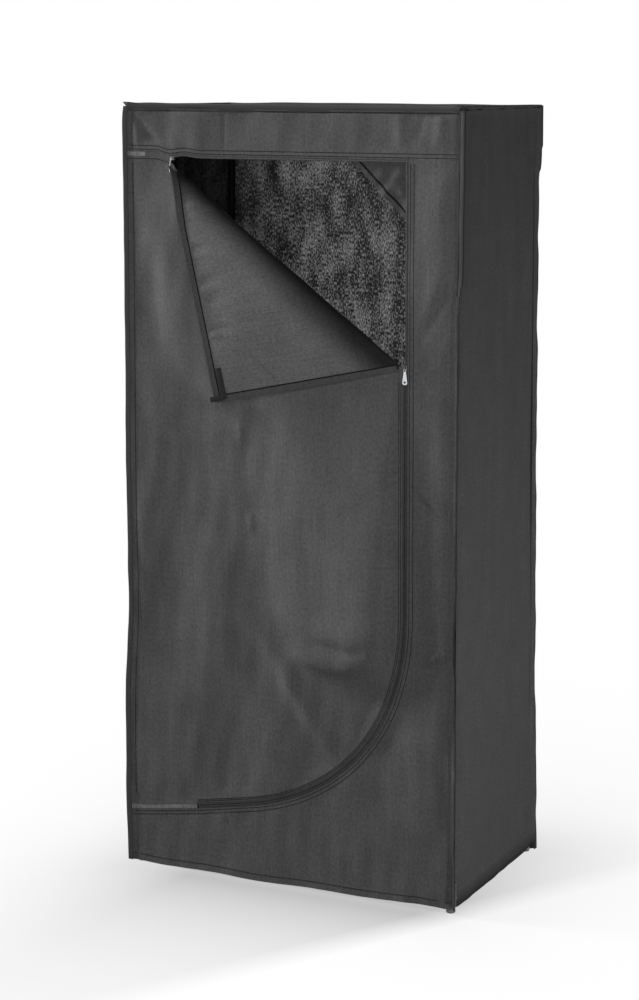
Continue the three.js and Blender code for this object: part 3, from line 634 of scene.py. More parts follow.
@dataclass(frozen=True)
class ClothFinish:
    """Felted cloth, woven tape or thread."""

    name: str
    colour: tuple[float, float, float]
    speckle: float = 0.35
    mottle: float = 0.9
    streaks: float = 0.4
    blotches: float = 0.35
    dots: float = 0.8
    bump: float = 0.35
    roughness: float = 0.85
    sheen: float = 0.004
    through: float = 0.0  # daylight that comes through the cloth
    dusk: float = 1.0  # share of it at the left edge
    pressed: float = 1.0  # painted shade: how much of its tone is left at the flap's fold line
    hem: float = 1.0  # painted shade: how much of its tone is left at the hem, where the cloth turns in

    def material(self) -> bpy.types.Material:
        """Builds the material at its first use.

        Returns:
            The material.
        """
        if self.name in bpy.data.materials:
            return bpy.data.materials[self.name]
        made, tree, shader = plain_material(self.name)
        place = tree.add("ShaderNodeTexCoord").outputs["UV"]
        felt = tree.add("ShaderNodeGroup", node_tree=shared("felted_cloth", fibre_group),
                        Vector=place, Speckle=self.speckle, Mottle=self.mottle,
                        Streaks=self.streaks, Blotches=self.blotches, Dots=self.dots).outputs
        tone = felt["Tone"]
        # painted shade beside the flap's fold line
        if self.pressed < 1.0:
            tone = tree.math("MULTIPLY", tone, self.painted_fold_shade(tree, place))
        # painted shade along the hem
        if self.hem < 1.0:
            tone = tree.math("MULTIPLY", tone, self.painted_hem_shade(tree, place))
        tree.fill(shader, Base_Color=tree.grey(self.colour, tone),
                  Roughness=tree.math("MULTIPLY", felt["Tone"], self.roughness),
                  Sheen_Weight=self.sheen, Sheen_Roughness=0.5, Specular_IOR_Level=0.02)
        if self.through:
            fleece = tree.add("ShaderNodeGroup", node_tree=shared("lit_fleece", fleece_group),
                              Vector=place)
            light = tree.ramp(tree.parts(place)[0], -0.38, -0.12, self.dusk, 1.0)
            light = tree.grey(grey(1.0), tree.math("MULTIPLY", light, fleece.outputs["Tone"]))
            tree.fill(shader, Emission_Color=light, Emission_Strength=self.through)
        tree.bump(shader, felt["Height"], self.bump, 0.0003)
        return made

    def painted_fold_shade(self, tree: Tree, place: Socket) -> Socket:
        """Painted shade beside the fold line: rises from pressed to 1 by s^2 (3 - 2 s), s being the
        distance over the fold's reach.

        The distance is 0.6 x + 0.8 z - 1.0356 m, which starts 14 mm off the fold line, and the
        reach is 64 mm and 0.07 of x more to the right.

        Args:
            tree: the material's tree.
            place: place on the flat cloth.

        Returns:
            The factor.
        """
        x, z = tree.parts(place)
        off = tree.math("ADD", tree.math("MULTIPLY", x, 0.6), -1.0356)
        off = tree.math("ADD", tree.math("MULTIPLY", z, 0.8), off)
        wide = tree.math("MULTIPLY", tree.math("MAXIMUM", x, 0.0), 0.07)
        share = tree.math("DIVIDE", off, tree.math("ADD", wide, 0.064))
        share = tree.ramp(share, 0.0, 1.0, 0.0, 1.0)
        slow = tree.math("SUBTRACT", 3.0, tree.math("MULTIPLY", share, 2.0))
        share = tree.math("MULTIPLY", tree.math("MULTIPLY", share, share), slow)
        return tree.ramp(share, 0.0, 1.0, self.pressed, 1.0)

    def painted_hem_shade(self, tree: Tree, place: Socket) -> Socket:
        """Painted shade at the hem: rises evenly from hem to 1 between 12 and 42 mm above the
        floor.
        """
        return tree.ramp(tree.parts(place)[1], 0.012, 0.042, self.hem, 1.0)


@dataclass(frozen=True)
class HardFinish:
    """Paint, moulded plastic, nylon or plated metal."""

    name: str
    colour: tuple[float, float, float]
    roughness: float
    metallic: float = 0.0
    specular: float = 0.5
    spread: float = 0.2
    size: float = 1.0
    bump: float = 0.15

    def material(self) -> bpy.types.Material:
        """Builds the material at its first use.

        Returns:
            The material.
        """
        if self.name in bpy.data.materials:
            return bpy.data.materials[self.name]
        made, tree, shader = plain_material(self.name)
        place = tree.add("ShaderNodeTexCoord").outputs["Object"]
        fine = tree.add("ShaderNodeGroup", node_tree=shared("fine_grain", moulded_group),
                        Vector=place, Size=self.size, Strength=self.spread).outputs
        rough = tree.math("ADD", tree.math("MULTIPLY", fine["Rough"], 0.6), self.roughness)
        tree.fill(shader, Base_Color=tree.grey(self.colour, fine["Tone"]), Roughness=rough,
                  Metallic=self.metallic, Specular_IOR_Level=self.specular)
        tree.bump(shader, fine["Height"], self.bump, 0.0001)
        return made


def grey(value: float) -> tuple[float, float, float]:
    """A neutral colour of this linear value."""
    return (value, value, value)


COVER = ClothFinish("cover_cloth_outside", grey(0.085))
# The cloth's reverse on the flap: lighter than the cover as painted light, with painted shade at
# the fold.
REVERSE_LIT_AND_SHADED = ClothFinish("cover_cloth_reverse_painted_light_and_shade", grey(0.122), pressed=0.15)
# The side panels' cloth, darkened at the hem as painted shade.
SIDE = replace(COVER, name="side_cloth_painted_hem_shade", hem=0.35)
INSIDE_BACK = ClothFinish("cover_cloth_lit_through", grey(0.02), through=0.052, dusk=0.1)
# Inside of the cover and rims of the front's cloths: the cloth made near black as painted shade,
# with a faint glow of painted light through it.
INSIDE_SHADED = ClothFinish("cover_cloth_inside_painted_shade", grey(0.01), streaks=0.6, through=0.003)
# Outer edges of the upright seams and the lower front right seam, painted dark as painted shade.
EDGE = ClothFinish("seam_edge_painted_shade", grey(0.028), dots=0.0, streaks=0.5)
BINDING = ClothFinish("seam_binding_cloth", grey(0.07), dots=0.0, streaks=0.5)
# The front right seam's binding, darker than the other bindings as painted shade.
FRONT_BINDING_SHADED = replace(BINDING, name="right_seam_binding_painted_shade", colour=grey(0.042))
RIM = ClothFinish("top_seam_cloth", grey(0.075), dots=0.4)
# Cloth of the gusset behind the zips and the inner faces of the door and its facings: the cover's
# cloth made darker as painted shade.
LINING_SHADED = ClothFinish("inner_cloth_painted_shade", grey(0.062))
TAPE = ClothFinish("zip_tape_weave", grey(0.068), speckle=0.5, dots=1.4, streaks=0.0)
TAIL = ClothFinish("light_tail_tape", grey(0.17), speckle=0.5, mottle=1.4, dots=1.4)
TAB = ClothFinish("loose_tape_weave", grey(0.03), speckle=0.5, dots=1.4)
# Thread of the stitches, made near black so that it also stands for the shade in the grooves it
# pulls, as painted shade; it also paints the gusset's hem row and a line along the flap tape's
# inner edge.
THREAD_AND_GROOVE_SHADE = ClothFinish("sewing_thread_and_groove_shade", grey(0.013), dots=0.0)
NYLON = HardFinish("zip_tooth_nylon", grey(0.04), 0.55)
NYLON_SHADE = replace(NYLON, name="zip_tooth_shaded", colour=grey(0.006))
# Dark paint of the tubes, made near black as painted shade of the cover's inside.
PAINT = HardFinish("tube_paint_dark_and_shaded", (0.004, 0.0042, 0.0045), 0.7, specular=0.12)
PLASTIC = HardFinish("connector_plastic_black", grey(0.011), 0.48, size=0.8, bump=0.3)
FOOT = HardFinish("foot_plastic_grey", (0.18, 0.18, 0.185), 0.5, size=0.8)
GUNMETAL = HardFinish("zip_metal_dark", (0.1, 0.1, 0.105), 0.35, metallic=1.0, spread=0.15)
METAL = HardFinish("zip_metal_bright", (0.62, 0.63, 0.65), 0.22, metallic=1.0, spread=0.15)


class Slot(Enum):
    """Material slots of the record."""

    COVER = "cover_cloth"
    BINDING = "seam_binding"
    TAPE = "zip_tape"
    TAIL = "tail_tape"
    PAINT = "tube_paint"
    PLASTIC = "connector_plastic"
    FOOT = "foot_plastic"
    METAL = "zip_metal"


def dress(made: Object, body: str | None, finishes: list, nodes: tuple = ()) -> Object:
    """Finishes a piece and ties it to the frame.

    Args:
        made: the piece.
        body: the body that it rides on, or None.
        finishes: what its faces are made of.
        nodes: the frame's nodes that it stands for.

    Returns:
        The same object.
    """
    for finish in finishes:
        made.data.materials.append(finish.material())
    if body:
        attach(made, body)
    if nodes:
        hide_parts(*nodes)
    log.info("%s rides on %s", made.name, body)
    return made


def woven(name: str, points: Array, flat: tuple[Array, Array]) -> Object:
    """A piece of cloth from a grid of places and the same grid flat, in millimetres."""
    return piece(name, points, grid_faces(*points.shape[:2]), np.stack(flat, axis=-1) * MM)


def cut_cloth(name: str, points: Array, flat: tuple[Array, Array], finishes: list,
              nodes: tuple = (), body: str | None = "root") -> Object:
    """Makes a cloth of the cover, dresses it and gives it its thickness."""
    return solidify(dress(woven(name, points, flat), body, finishes, nodes))


# Lines of the cover

@dataclass(frozen=True)
class Cabinet:
    """Outer faces of the cover in millimetres, without its standing seams."""

    half_width: float = 368.0
    half_depth: float = 218.0
    top: float = 1593.0
    hem: float = 12.0

    @property
    def front(self) -> float:
        """Place of the front's outer face."""
        return -self.half_depth


CABINET = Cabinet()


@dataclass(frozen=True)
class ZipLine:
    """Centre line of the side zip with its curved lower run, in the plane of the front."""

    x: float = 258.0
    top: float = 1492.0
    bend: float = 590.0
    end: tuple = (-211.0, 141.0)
    handles: tuple = ((258.0, 590.0), (258.0, 344.0), (105.0, 197.0), (-98.0, 162.0))
    cloth_off: float = 6.0
    drawn_up: float = 8.0
    bow: float = 4.0
    tail_fall: float = 24.0

    def down(self, z: float) -> Array:
        """Centre line from a height on the straight run to the lower end.

        Args:
            z: height of the first point.

        Returns:
            Pairs of x and z, 2 mm apart.
        """
        t = np.linspace(0.0, 1.0, 160)[:, None]
        a, b, c, d = (np.array(p) for p in self.handles)
        curve = (1 - t) ** 3 * a + 3 * (1 - t) ** 2 * t * b + 3 * (1 - t) * t**2 * c + t**3 * d
        return evenly(np.vstack([[[self.x, z]], curve, [self.end]]), 2.0)

    def beside(self, z: float, off: float) -> Array:
        """The same line, moved sideways.

        Args:
            z: height of the first point.
            off: millimetres off the centre; positive is the cabinet's side.

        Returns:
            Pairs of x and z.
        """
        line = self.down(z)
        way = along(line)
        return line + off * np.column_stack([-way[:, 1], way[:, 0]])

    def upper(self, x: Array) -> Array:
        """Height of the upper line, drawn up beyond the slider and in a bow beside it."""
        beyond = 1.0 - smooth(x, -304.0, -272.0)
        return self.top + self.drawn_up * beyond + self.bow * bell(x + 238.0, 22.0)

    def tail(self, x: Array) -> Array:
        """Height of the seam that runs on from the lower end to the left edge."""
        slope = self.tail_fall / (CABINET.half_width + self.end[0])
        return self.end[1] + (x - self.end[0]) * slope


ZIP = ZipLine()


@dataclass(frozen=True)
class Corner:
    """How far an upright corner of the cover stands off its straight line, and how its seam points.

    Both tables are pairs of a height and a value: millimetres outward in x, and degrees that
    the seam is turned from the side towards the front or back.
    """

    off: tuple = ((0.0, 0.0), (1600.0, 0.0))
    turn: tuple = ((0.0, 45.0), (1600.0, 45.0))

    def out(self, z: Array) -> Array:
        """Millimetres outward at heights z, smooth between the table's rows."""
        line = rounded(self.off)
        return np.interp(z, line[:, 0], line[:, 1])

    def angle(self, z: Array) -> Array:
        """Direction of the seam in radians at heights z."""
        line = rounded(self.turn)
        return np.radians(np.interp(z, line[:, 0], line[:, 1]))


CORNERS = {
    (LEFT, FRONT): Corner(((0, 4), (70, 5), (175, 8), (380, 7), (545, -2), (790, 2), (1200, 3),
                           (1405, 4), (1558, 6), (1600, 2)),
                          ((0, 4), (1600, 4))),
    (RIGHT, FRONT): Corner(((0, -2), (300, -3), (700, -2), (1000, -1), (1200, 0), (1300, 4),
                            (1600, 7)),
                           ((0, 50), (1150, 50), (1260, 12), (1600, 5))),
    (LEFT, BACK): Corner(),
    (RIGHT, BACK): Corner(((0, 2), (90, 3), (200, 0), (330, -3), (700, -4), (1400, -4),
                           (1440, -1.5), (1560, 0), (1600, 0)),
                          ((0, 80), (1400, 82), (1440, 58), (1500, 48), (1600, 45))),
}


def drawn(sx: Array | int, sy: Array | int, z: Array, edge: Array, reach: float = 60.0) -> Array:
    """How far the cloth follows its corner outward.

    Args:
        sx, sy: which corner each place belongs to.
        z: heights.
        edge: distances from the corner along the cloth.
        reach: distance over which it fades.

    Returns:
        Millimetres outward in x.
    """
    total = np.zeros(np.broadcast(z, edge).shape)
    for (x_way, y_way), corner in CORNERS.items():
        at = (np.asarray(sx) == x_way) & (np.asarray(sy) == y_way)
        total = total + np.where(at, corner.out(z) * (1.0 - smooth(edge, 0.0, reach)), 0.0)
    return total


@dataclass(frozen=True)
class Fold:
    """Cone of cloth that the door's folded corner makes, with its point at the side slider."""

    apex: tuple = (252.0, -217.7, 1088.0)
    ways: tuple = ((-0.8, 0.0, 0.6), (0.6, 0.0, 0.8), (0.0, -1.0, 0.0))
    corner: float = math.acos(0.6)
    flat_from: float = 0.12
    lean_at: float = 0.5
    lean: float = 0.15
    out: float = 0.07
    rise: float = 0.27
    inward: float = 0.064
    stood: float = 0.5

    def ways_at(self, angle: Array) -> Array:
        """Directions on the shut cloth at angles from the fold line."""
        up, across = np.array(self.ways[0]), np.array(self.ways[1])
        return np.cos(angle)[:, None] * up + np.sin(angle)[:, None] * across

    def fan(self, way: Array, near: float, far: Array, rings: int) -> tuple[Array, Array]:
        """Grid on the shut cloth along rays from the point."""
        reach = near + (far - near)[None, :] * np.linspace(0.0, 1.0, rings)[:, None]
        return self.apex[0] + way[None, :, 0] * reach, self.apex[2] + way[None, :, 2] * reach

    def flat_axes(self) -> tuple[Array, Array]:
        """Two directions of the part that has become flat.

        Returns:
            Its middle direction, and the one square to it.
        """
        up, across, outward = (np.array(w) for w in self.ways)
        middle = math.cos(self.lean_at) * up - math.sin(self.lean_at) * across
        middle = middle * math.cos(self.lean) + outward * math.sin(self.lean)
        return middle, -math.sin(self.lean_at) * up - math.cos(self.lean_at) * across

    def on_flat(self, angle: Array) -> Array:
        """Directions on the flat part."""
        middle, across = self.flat_axes()
        return np.cos(angle)[..., None] * middle + np.sin(angle)[..., None] * across

    def curve(self) -> tuple[Array, Array, float]:
        """The bulge: a cubic from the fold line to the start of the flat part, at length 1.

        Returns:
            Directions along it, the angle run at each, and where the flat part starts.
        """
        up, across, outward = (np.array(w) for w in self.ways)
        start = -math.atan(math.tan(self.lean_at - self.flat_from) * math.cos(self.lean))
        end = self.on_flat(np.array(start))
        end_way = self.on_flat(np.array(start + math.pi / 2))
        handle = up + self.out * (math.cos(self.rise) * outward + math.sin(self.rise) * across)
        t = np.linspace(0.0, 1.0, 201)[:, None]
        line = ((1 - t) ** 3 * up + 3 * (1 - t) ** 2 * t * handle
                + 3 * (1 - t) * t**2 * (end - self.inward * end_way) + t**3 * end)
        line = unit(line)
        return line, run_of(line), start

    def direction(self, angle: Array) -> Array:
        """Directions from the point when folded.

        Args:
            angle: angles from the fold line when shut.

        Returns:
            The directions.
        """
        line, run, start = self.curve()
        bulge = unit(np.stack([np.interp(angle, run, line[:, k]) for k in range(3)], axis=-1))
        flat = self.on_flat(start + angle - run[-1])
        return np.where((angle < run[-1])[..., None], bulge, flat)

    def normal(self, angle: Array) -> Array:
        """Unit normal on the side that is the cloth's back when shut.

        Args:
            angle: angles from the fold line, in radians.

        Returns:
            Unit vectors.
        """
        step = 0.01
        before = self.direction(np.maximum(angle - step, 0.0))
        return unit(np.cross(before, self.direction(angle + step)))

    def place(self, x: Array, z: Array, depth: Array | float = 0.0) -> Array:
        """Folded places of points of the shut corner.

        Args:
            x, z: places on the shut corner.
            depth: millimetres behind the middle of the cloth.

        Returns:
            Places in the cabinet.
        """
        up, across, outward = (np.array(w) for w in self.ways)
        flat = np.stack([x - self.apex[0], np.zeros_like(x), z - self.apex[2]], axis=-1)
        angle = np.arctan2(flat @ across, flat @ up)
        reach = np.linalg.norm(flat, axis=-1, keepdims=True)
        depth = np.broadcast_to(depth, angle.shape)[..., None]
        return (self.apex + self.direction(angle) * reach + self.normal(angle) * depth
                + self.stood * outward)

    def line_z(self, x: Array) -> Array:
        """Height of the fold line."""
        return self.apex[2] + (self.apex[0] - x) * 0.75

    def squash(self, made: Object) -> None:
        """Lets the bulge and the lean go flat as the corner is closed.

        Args:
            made: a piece of the folded corner.
        """
        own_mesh(made)


FOLD = Fold()


# Relief of the cloth

def nearest(x: Array, z: Array, line: Array) -> tuple[Array, Array, Array]:
    """Where places on the cloth lie beside a line of points.

    Args:
        x, z: the places.
        line: pairs of x and z.

    Returns:
        Distance from the line, a number that is positive on the left of its run, and the
        share of its length run at the nearest point.
    """
    run = run_of(line)
    best, side, share = np.full(x.shape, 1e9), np.zeros(x.shape), np.zeros(x.shape)
    for start, step, begun in zip(line[:-1], np.diff(line, axis=0), run):
        dx, dz = x - start[0], z - start[1]
        t = np.clip((dx * step[0] + dz * step[1]) / (step @ step), 0.0, 1.0)
        away = np.hypot(dx - t * step[0], dz - t * step[1])
        nearer = away < best
        best = np.where(nearer, away, best)
        side = np.where(nearer, step[0] * dz - step[1] * dx, side)
        share = np.where(nearer, (begun + t * np.linalg.norm(step)) / run[-1], share)
    return best, side, share


@dataclass(frozen=True)
class Crease:
    """A soft ridge or valley along a line on the cloth.

    Its height is height * exp(-(d / width)^2), where d is the distance from the line, and the
    width differs on the two sides. Left and right are as seen for a line that runs down the
    page; for a line that runs to the right, right is its upper side.
    """

    path: tuple
    height: float
    left: float
    right: float
    fade: tuple = (0.35, 0.35)  # shares of its length over which it fades in and out

    def at(self, x: Array, z: Array) -> Array:
        """Height of the crease.

        Args:
            x, z: places on the cloth.

        Returns:
            Millimetres outward.
        """
        away, side, share = nearest(x, z, rounded(self.path))
        height = self.height * bell(away, np.where(side > 0, self.right, self.left))
        for run, fade in zip((share, 1.0 - share), self.fade):
            if fade:
                height = height * smooth(run, 0.0, fade)
        return height


@dataclass(frozen=True)
class Bulge:
    """The door's cloth stands out from a foot line on its left to a crest beside the zip.

    Across it, with u = 0 at the foot and 1 at the crest, the slope is smoothstep(u, -r, r) *
    (1 - smoothstep(u, 0.8, 1.1)); the height is its running sum.
    """

    foot: tuple = ((-300, 1120), (-227, 1010), (-152, 969), (-106, 920), (-88, 839), (-70, 748),
                   (-42, 616), (-8, 505), (49, 419), (110, 340))
    crest: tuple = ((60, 1120), (138, 1000), (186, 881), (221, 773), (235, 643), (231, 560),
                    (205, 488), (170, 400))
    height: float = 56.0
    round: float = 0.07
    fall: tuple = (400.0, 560.0)
    zip_hold: float = 38.0

    def at(self, x: Array, z: Array, near_zip: Array) -> Array:
        """Height of the bulge.

        Args:
            x, z: places on the cloth.
            near_zip: their distance from the zip.

        Returns:
            Millimetres outward.
        """
        foot, crest = rounded(self.foot)[::-1], rounded(self.crest)[::-1]
        start = np.interp(z, foot[:, 1], foot[:, 0])
        u = (x - start) / (np.interp(z, crest[:, 1], crest[:, 0]) - start)
        table = np.linspace(-0.5, 2.0, 500)
        slope = smooth(table, -self.round, self.round) * (1.0 - smooth(table, 0.8, 1.1))
        rise = np.interp(u, table, np.cumsum(slope) * (table[1] - table[0]))
        return self.height * rise * smooth(z, *self.fall) * (1.0 - bell(near_zip, self.zip_hold))


DOOR_CREASES = (
    Crease(((-147, 600), (-43, 491), (94, 279)), 5.0, 20.0, 26.0),
    Crease(((-43, 505), (26, 395), (127, 263)), 5.0, 16.0, 22.0),
    Crease(((-8, 500), (94, 472), (205, 486)), 4.5, 14.0, 20.0),
    Crease(((40, 525), (150, 512), (215, 532)), -4.0, 12.0, 12.0),
    Crease(((-109, 965), (-105, 900)), 2.5, 6.0, 8.0),
    Crease(((-90, 780), (-84, 725)), 2.5, 6.0, 8.0),
    Crease(((-296, 1150), (-290, 900), (-276, 600), (-262, 300)), -3.4, 62.0, 62.0),
    Crease(((-342, 1470), (-284, 1282), (-249, 1139), (-215, 1037)), 7.0, 35.0, 45.0),
    Crease(((138, 1074), (192, 1051), (242, 1021)), 4.0, 8.0, 8.0, (0.4, 0.0)),
    Crease(((130, 1050), (190, 1020), (240, 990)), -4.0, 8.0, 9.0, (0.4, 0.0)),
    Crease(((127, 1017), (182, 971), (243, 945)), 4.0, 9.0, 9.0, (0.4, 0.0)),
    Crease(((130, 990), (185, 935), (243, 905)), -4.5, 9.0, 10.0, (0.4, 0.0)),
)

STRIP_CREASES = (
    Crease(((342, 1480), (342, 1100), (344, 700), (346, 300)), 5.0, 42.0, 42.0, (0.05, 0.1)),
    Crease(((350, 1250), (331, 1207), (300, 1156), (268, 1105)), -2.8, 9.0, 9.0, (0.1, 0.2)),
    Crease(((360, 1169), (332, 1109), (289, 1057), (268, 1026)), 2.6, 9.0, 12.0, (0.1, 0.2)),
    Crease(((330, 1290), (300, 1200), (270, 1150)), 2.0, 12.0, 12.0),
    Crease(((269, 867), (312, 831), (358, 803)), 3.5, 8.0, 8.0, (0.2, 0.1)),
    Crease(((266, 845), (310, 810), (358, 780)), -3.0, 9.0, 9.0, (0.2, 0.1)),
    Crease(((366, 536), (335, 523), (296, 496)), 9.0, 6.0, 7.0, (0.0, 0.4)),
    Crease(((366, 518), (335, 503), (296, 478)), -8.0, 8.0, 7.0, (0.0, 0.4)),
)

VALANCE_CREASES = (
    Crease(((-362, 1587), (-325, 1543), (-289, 1508)), -4.4, 9.0, 8.0, (0.1, 0.2)),
    Crease(((-358, 1573), (-342, 1508)), 2.6, 8.0, 10.0, (0.3, 0.1)),
    Crease(((-270, 1560), (-262, 1500)), 0.8, 6.0, 9.0, (0.5, 0.0)),
    Crease(((-147, 1592), (-147, 1500)), -1.4, 2.6, 2.6, (0.05, 0.05)),
    Crease(((38, 1592), (38, 1500)), -0.8, 2.6, 2.6, (0.05, 0.05)),
    Crease(((298, 1592), (277, 1527)), -2.0, 10.0, 10.0, (0.1, 0.4)),
    Crease(((245, 1585), (245, 1512)), 2.0, 12.0, 14.0, (0.1, 0.4)),
    Crease(((331, 1585), (321, 1512)), 2.5, 10.0, 12.0, (0.1, 0.4)),
    Crease(((240, 1584), (366, 1584)), -2.4, 5.0, 5.0, (0.3, 0.0)),
)

FLAP_CREASES = (
    Crease(((-196, 1474), (-186, 1430)), 2.0, 8.0, 8.0, (0.0, 0.6)),
    Crease(((-141, 1474), (-136, 1440), (-128, 1400)), 3.2, 14.0, 5.0, (0.0, 0.6)),
    Crease(((-63, 1474), (-56, 1450), (-46, 1425)), -2.6, 7.0, 7.0, (0.0, 0.6)),
    Crease(((-27, 1474), (-21, 1430)), -1.8, 5.0, 6.0, (0.0, 0.6)),
    Crease(((8, 1474), (12, 1420)), -3.0, 7.0, 8.0, (0.0, 0.6)),
    Crease(((26, 1474), (30, 1430)), 2.0, 7.0, 7.0, (0.0, 0.6)),
    Crease(((45, 1474), (57, 1437)), -2.2, 6.0, 6.0, (0.0, 0.6)),
    Crease(((102, 1474), (107, 1445), (116, 1400)), -3.6, 4.0, 10.0, (0.0, 0.6)),
    Crease(((120, 1474), (126, 1440)), 2.4, 7.0, 7.0, (0.0, 0.6)),
    Crease(((160, 1425), (172, 1408), (198, 1384), (232, 1357)), -4.6, 9.0, 7.0, (0.4, 0.0)),
    Crease(((188, 1412), (215, 1388), (234, 1374)), 2.2, 8.0, 8.0, (0.3, 0.0)),
    Crease(((236, 1318), (200, 1326)), -2.0, 6.0, 6.0, (0.0, 0.6)),
    Crease(((236, 1282), (204, 1290)), 1.8, 6.0, 6.0, (0.0, 0.6)),
    Crease(((236, 1240), (208, 1246)), -2.0, 6.0, 6.0, (0.0, 0.6)),
    Crease(((236, 1196), (214, 1200)), 1.6, 6.0, 6.0, (0.0, 0.6)),
)

APRON_CREASES = (
    Crease(((-368, 6), (-334, 53)), -1.8, 3.0, 4.0, (0.0, 0.5)),
    Crease(((-158, 134), (-150, 108)), 1.5, 3.0, 3.0, (0.0, 0.5)),
    Crease(((-148, 134), (-136, 104)), -1.6, 3.0, 3.0, (0.0, 0.5)),
    Crease(((-139, 134), (-122, 100)), 1.8, 4.0, 4.0, (0.0, 0.5)),
    Crease(((368, 16), (330, 60)), 2.2, 5.0, 6.0, (0.0, 0.5)),
    Crease(((368, 14), (318, 30)), -1.8, 4.0, 5.0, (0.0, 0.5)),
)


@dataclass
class FrontRelief:
    """How far the front's cloth stands out of its plane; held to nothing along the zips."""

    creases: tuple = DOOR_CREASES + STRIP_CREASES + VALANCE_CREASES + APRON_CREASES
    broad: float = 1.9
    fine: float = 0.5
    zip_hold: float = 16.0
    fold_hold: float = 22.0
    edge_dip: float = 1.2
    groove: tuple = (1.5, 3.4, 3.0)  # depth beside the right seam, and what the top and the hem add
    hems: float = 0.5
    tuck: tuple = (1.2, 2.2)  # lift at the top edge, and depth of the line under it
    under_flap: float = 0.09  # most that it stands out, as a share of the way from the fold's point
    lines: tuple = field(init=False)

    def __post_init__(self) -> None:
        """Works out the lines that hold the cloth."""
        left = -CABINET.half_width
        upper = np.append(np.linspace(left, -190.0, 24), ZIP.x)
        side = np.vstack([ZIP.down(ZIP.top)[::12], [ZIP.end], [[left, ZIP.tail(np.array(left))]]])
        self.lines = (side, np.column_stack([upper, ZIP.upper(upper)]))

    def free(self, x: Array, z: Array, near: Array) -> Array:
        """Cloth between the lines that hold it: waves, creases and the door's bulge.

        Args:
            x, z: places on the cloth.
            near: their distance from the zips.

        Returns:
            Millimetres outward, faded out at the zips and the fold by 1 - exp(-(d / hold)^2).
        """
        calm = 0.45 + 0.55 * smooth(z, 110.0, 320.0)
        total = self.broad * waves(x, z, 3, 210.0, 1.5) * calm
        total = total + self.fine * waves(x, z, 8, 60.0, 1.6)
        for crease in self.creases:
            total = total + crease.at(x, z)
        on_door = (z < FOLD.line_z(x)) & (x < ZIP.x) & (z < ZIP.top)
        total = total + Bulge().at(x, z, near) * on_door
        fold = np.array([[FOLD.apex[0], FOLD.apex[2]], [-262.0, FOLD.line_z(-262.0)]])
        total = total * (1.0 - bell(near, self.zip_hold))
        return total * (1.0 - bell(nearest(x, z, fold)[0], self.fold_hold))

    def at(self, x: Array, z: Array) -> Array:
        """Displacement outward.

        A narrow dip and a lift run along the upright edges, where the cloth turns into the
        seam.

        Args:
            x, z: places on the cloth.

        Returns:
            Millimetres outward.
        """
        near = np.minimum(*(nearest(x, z, line)[0] for line in self.lines))
        edge = CABINET.half_width - np.abs(x)
        below = CABINET.top - z
        total = self.free(x, z, near) * smooth(edge, 0.0, 40.0)
        total = np.where(total < 0, total * smooth(near, 16.0, 34.0), total)
        room = 1.0 + self.under_flap * np.hypot(x - FOLD.apex[0], z - FOLD.apex[2])
        total = np.where(total > 0, room * np.tanh(total / room), total)
        middle, upper, lower = self.groove
        deep = middle + upper * smooth(z, 1190.0, 1260.0) + lower * (1.0 - smooth(z, 40.0, 170.0))
        left_dip, right_dip = self.edge_dip * bell(edge - 12.0, 7.0), deep * bell(edge - 6.0, 3.0)
        total -= np.where(x < 0, left_dip, right_dip)
        total += self.hems * (1.0 - smooth(near - ZIP.cloth_off, 6.0, 8.5))
        return total + self.tuck[0] * bell(below, 4.0) - self.tuck[1] * bell(below - 4.8, 2.2)


RELIEF = FrontRelief()


# Cover

def plane(x: Array, z: Array, out: Array) -> Array:
    """Places on the front, drawn out beside the corners.

    Args:
        x, z: places on the cloth.
        out: millimetres proud of the front's face.

    Returns:
        Places in the cabinet.
    """
    way = np.where(x < 0, LEFT, RIGHT)
    shift = way * drawn(way, FRONT, z, CABINET.half_width - np.abs(x))
    return np.stack([x + shift, CABINET.front - out, z], axis=-1)


def ruled(low: Array, high: Array, rows: int) -> tuple[Array, Array]:
    """Grid of x and z between two lines of equal count, straight from one to the other."""
    v = np.linspace(0.0, 1.0, rows)[:, None]
    return tuple(low[None, :, k] * (1 - v) + high[None, :, k] * v for k in (0, 1))


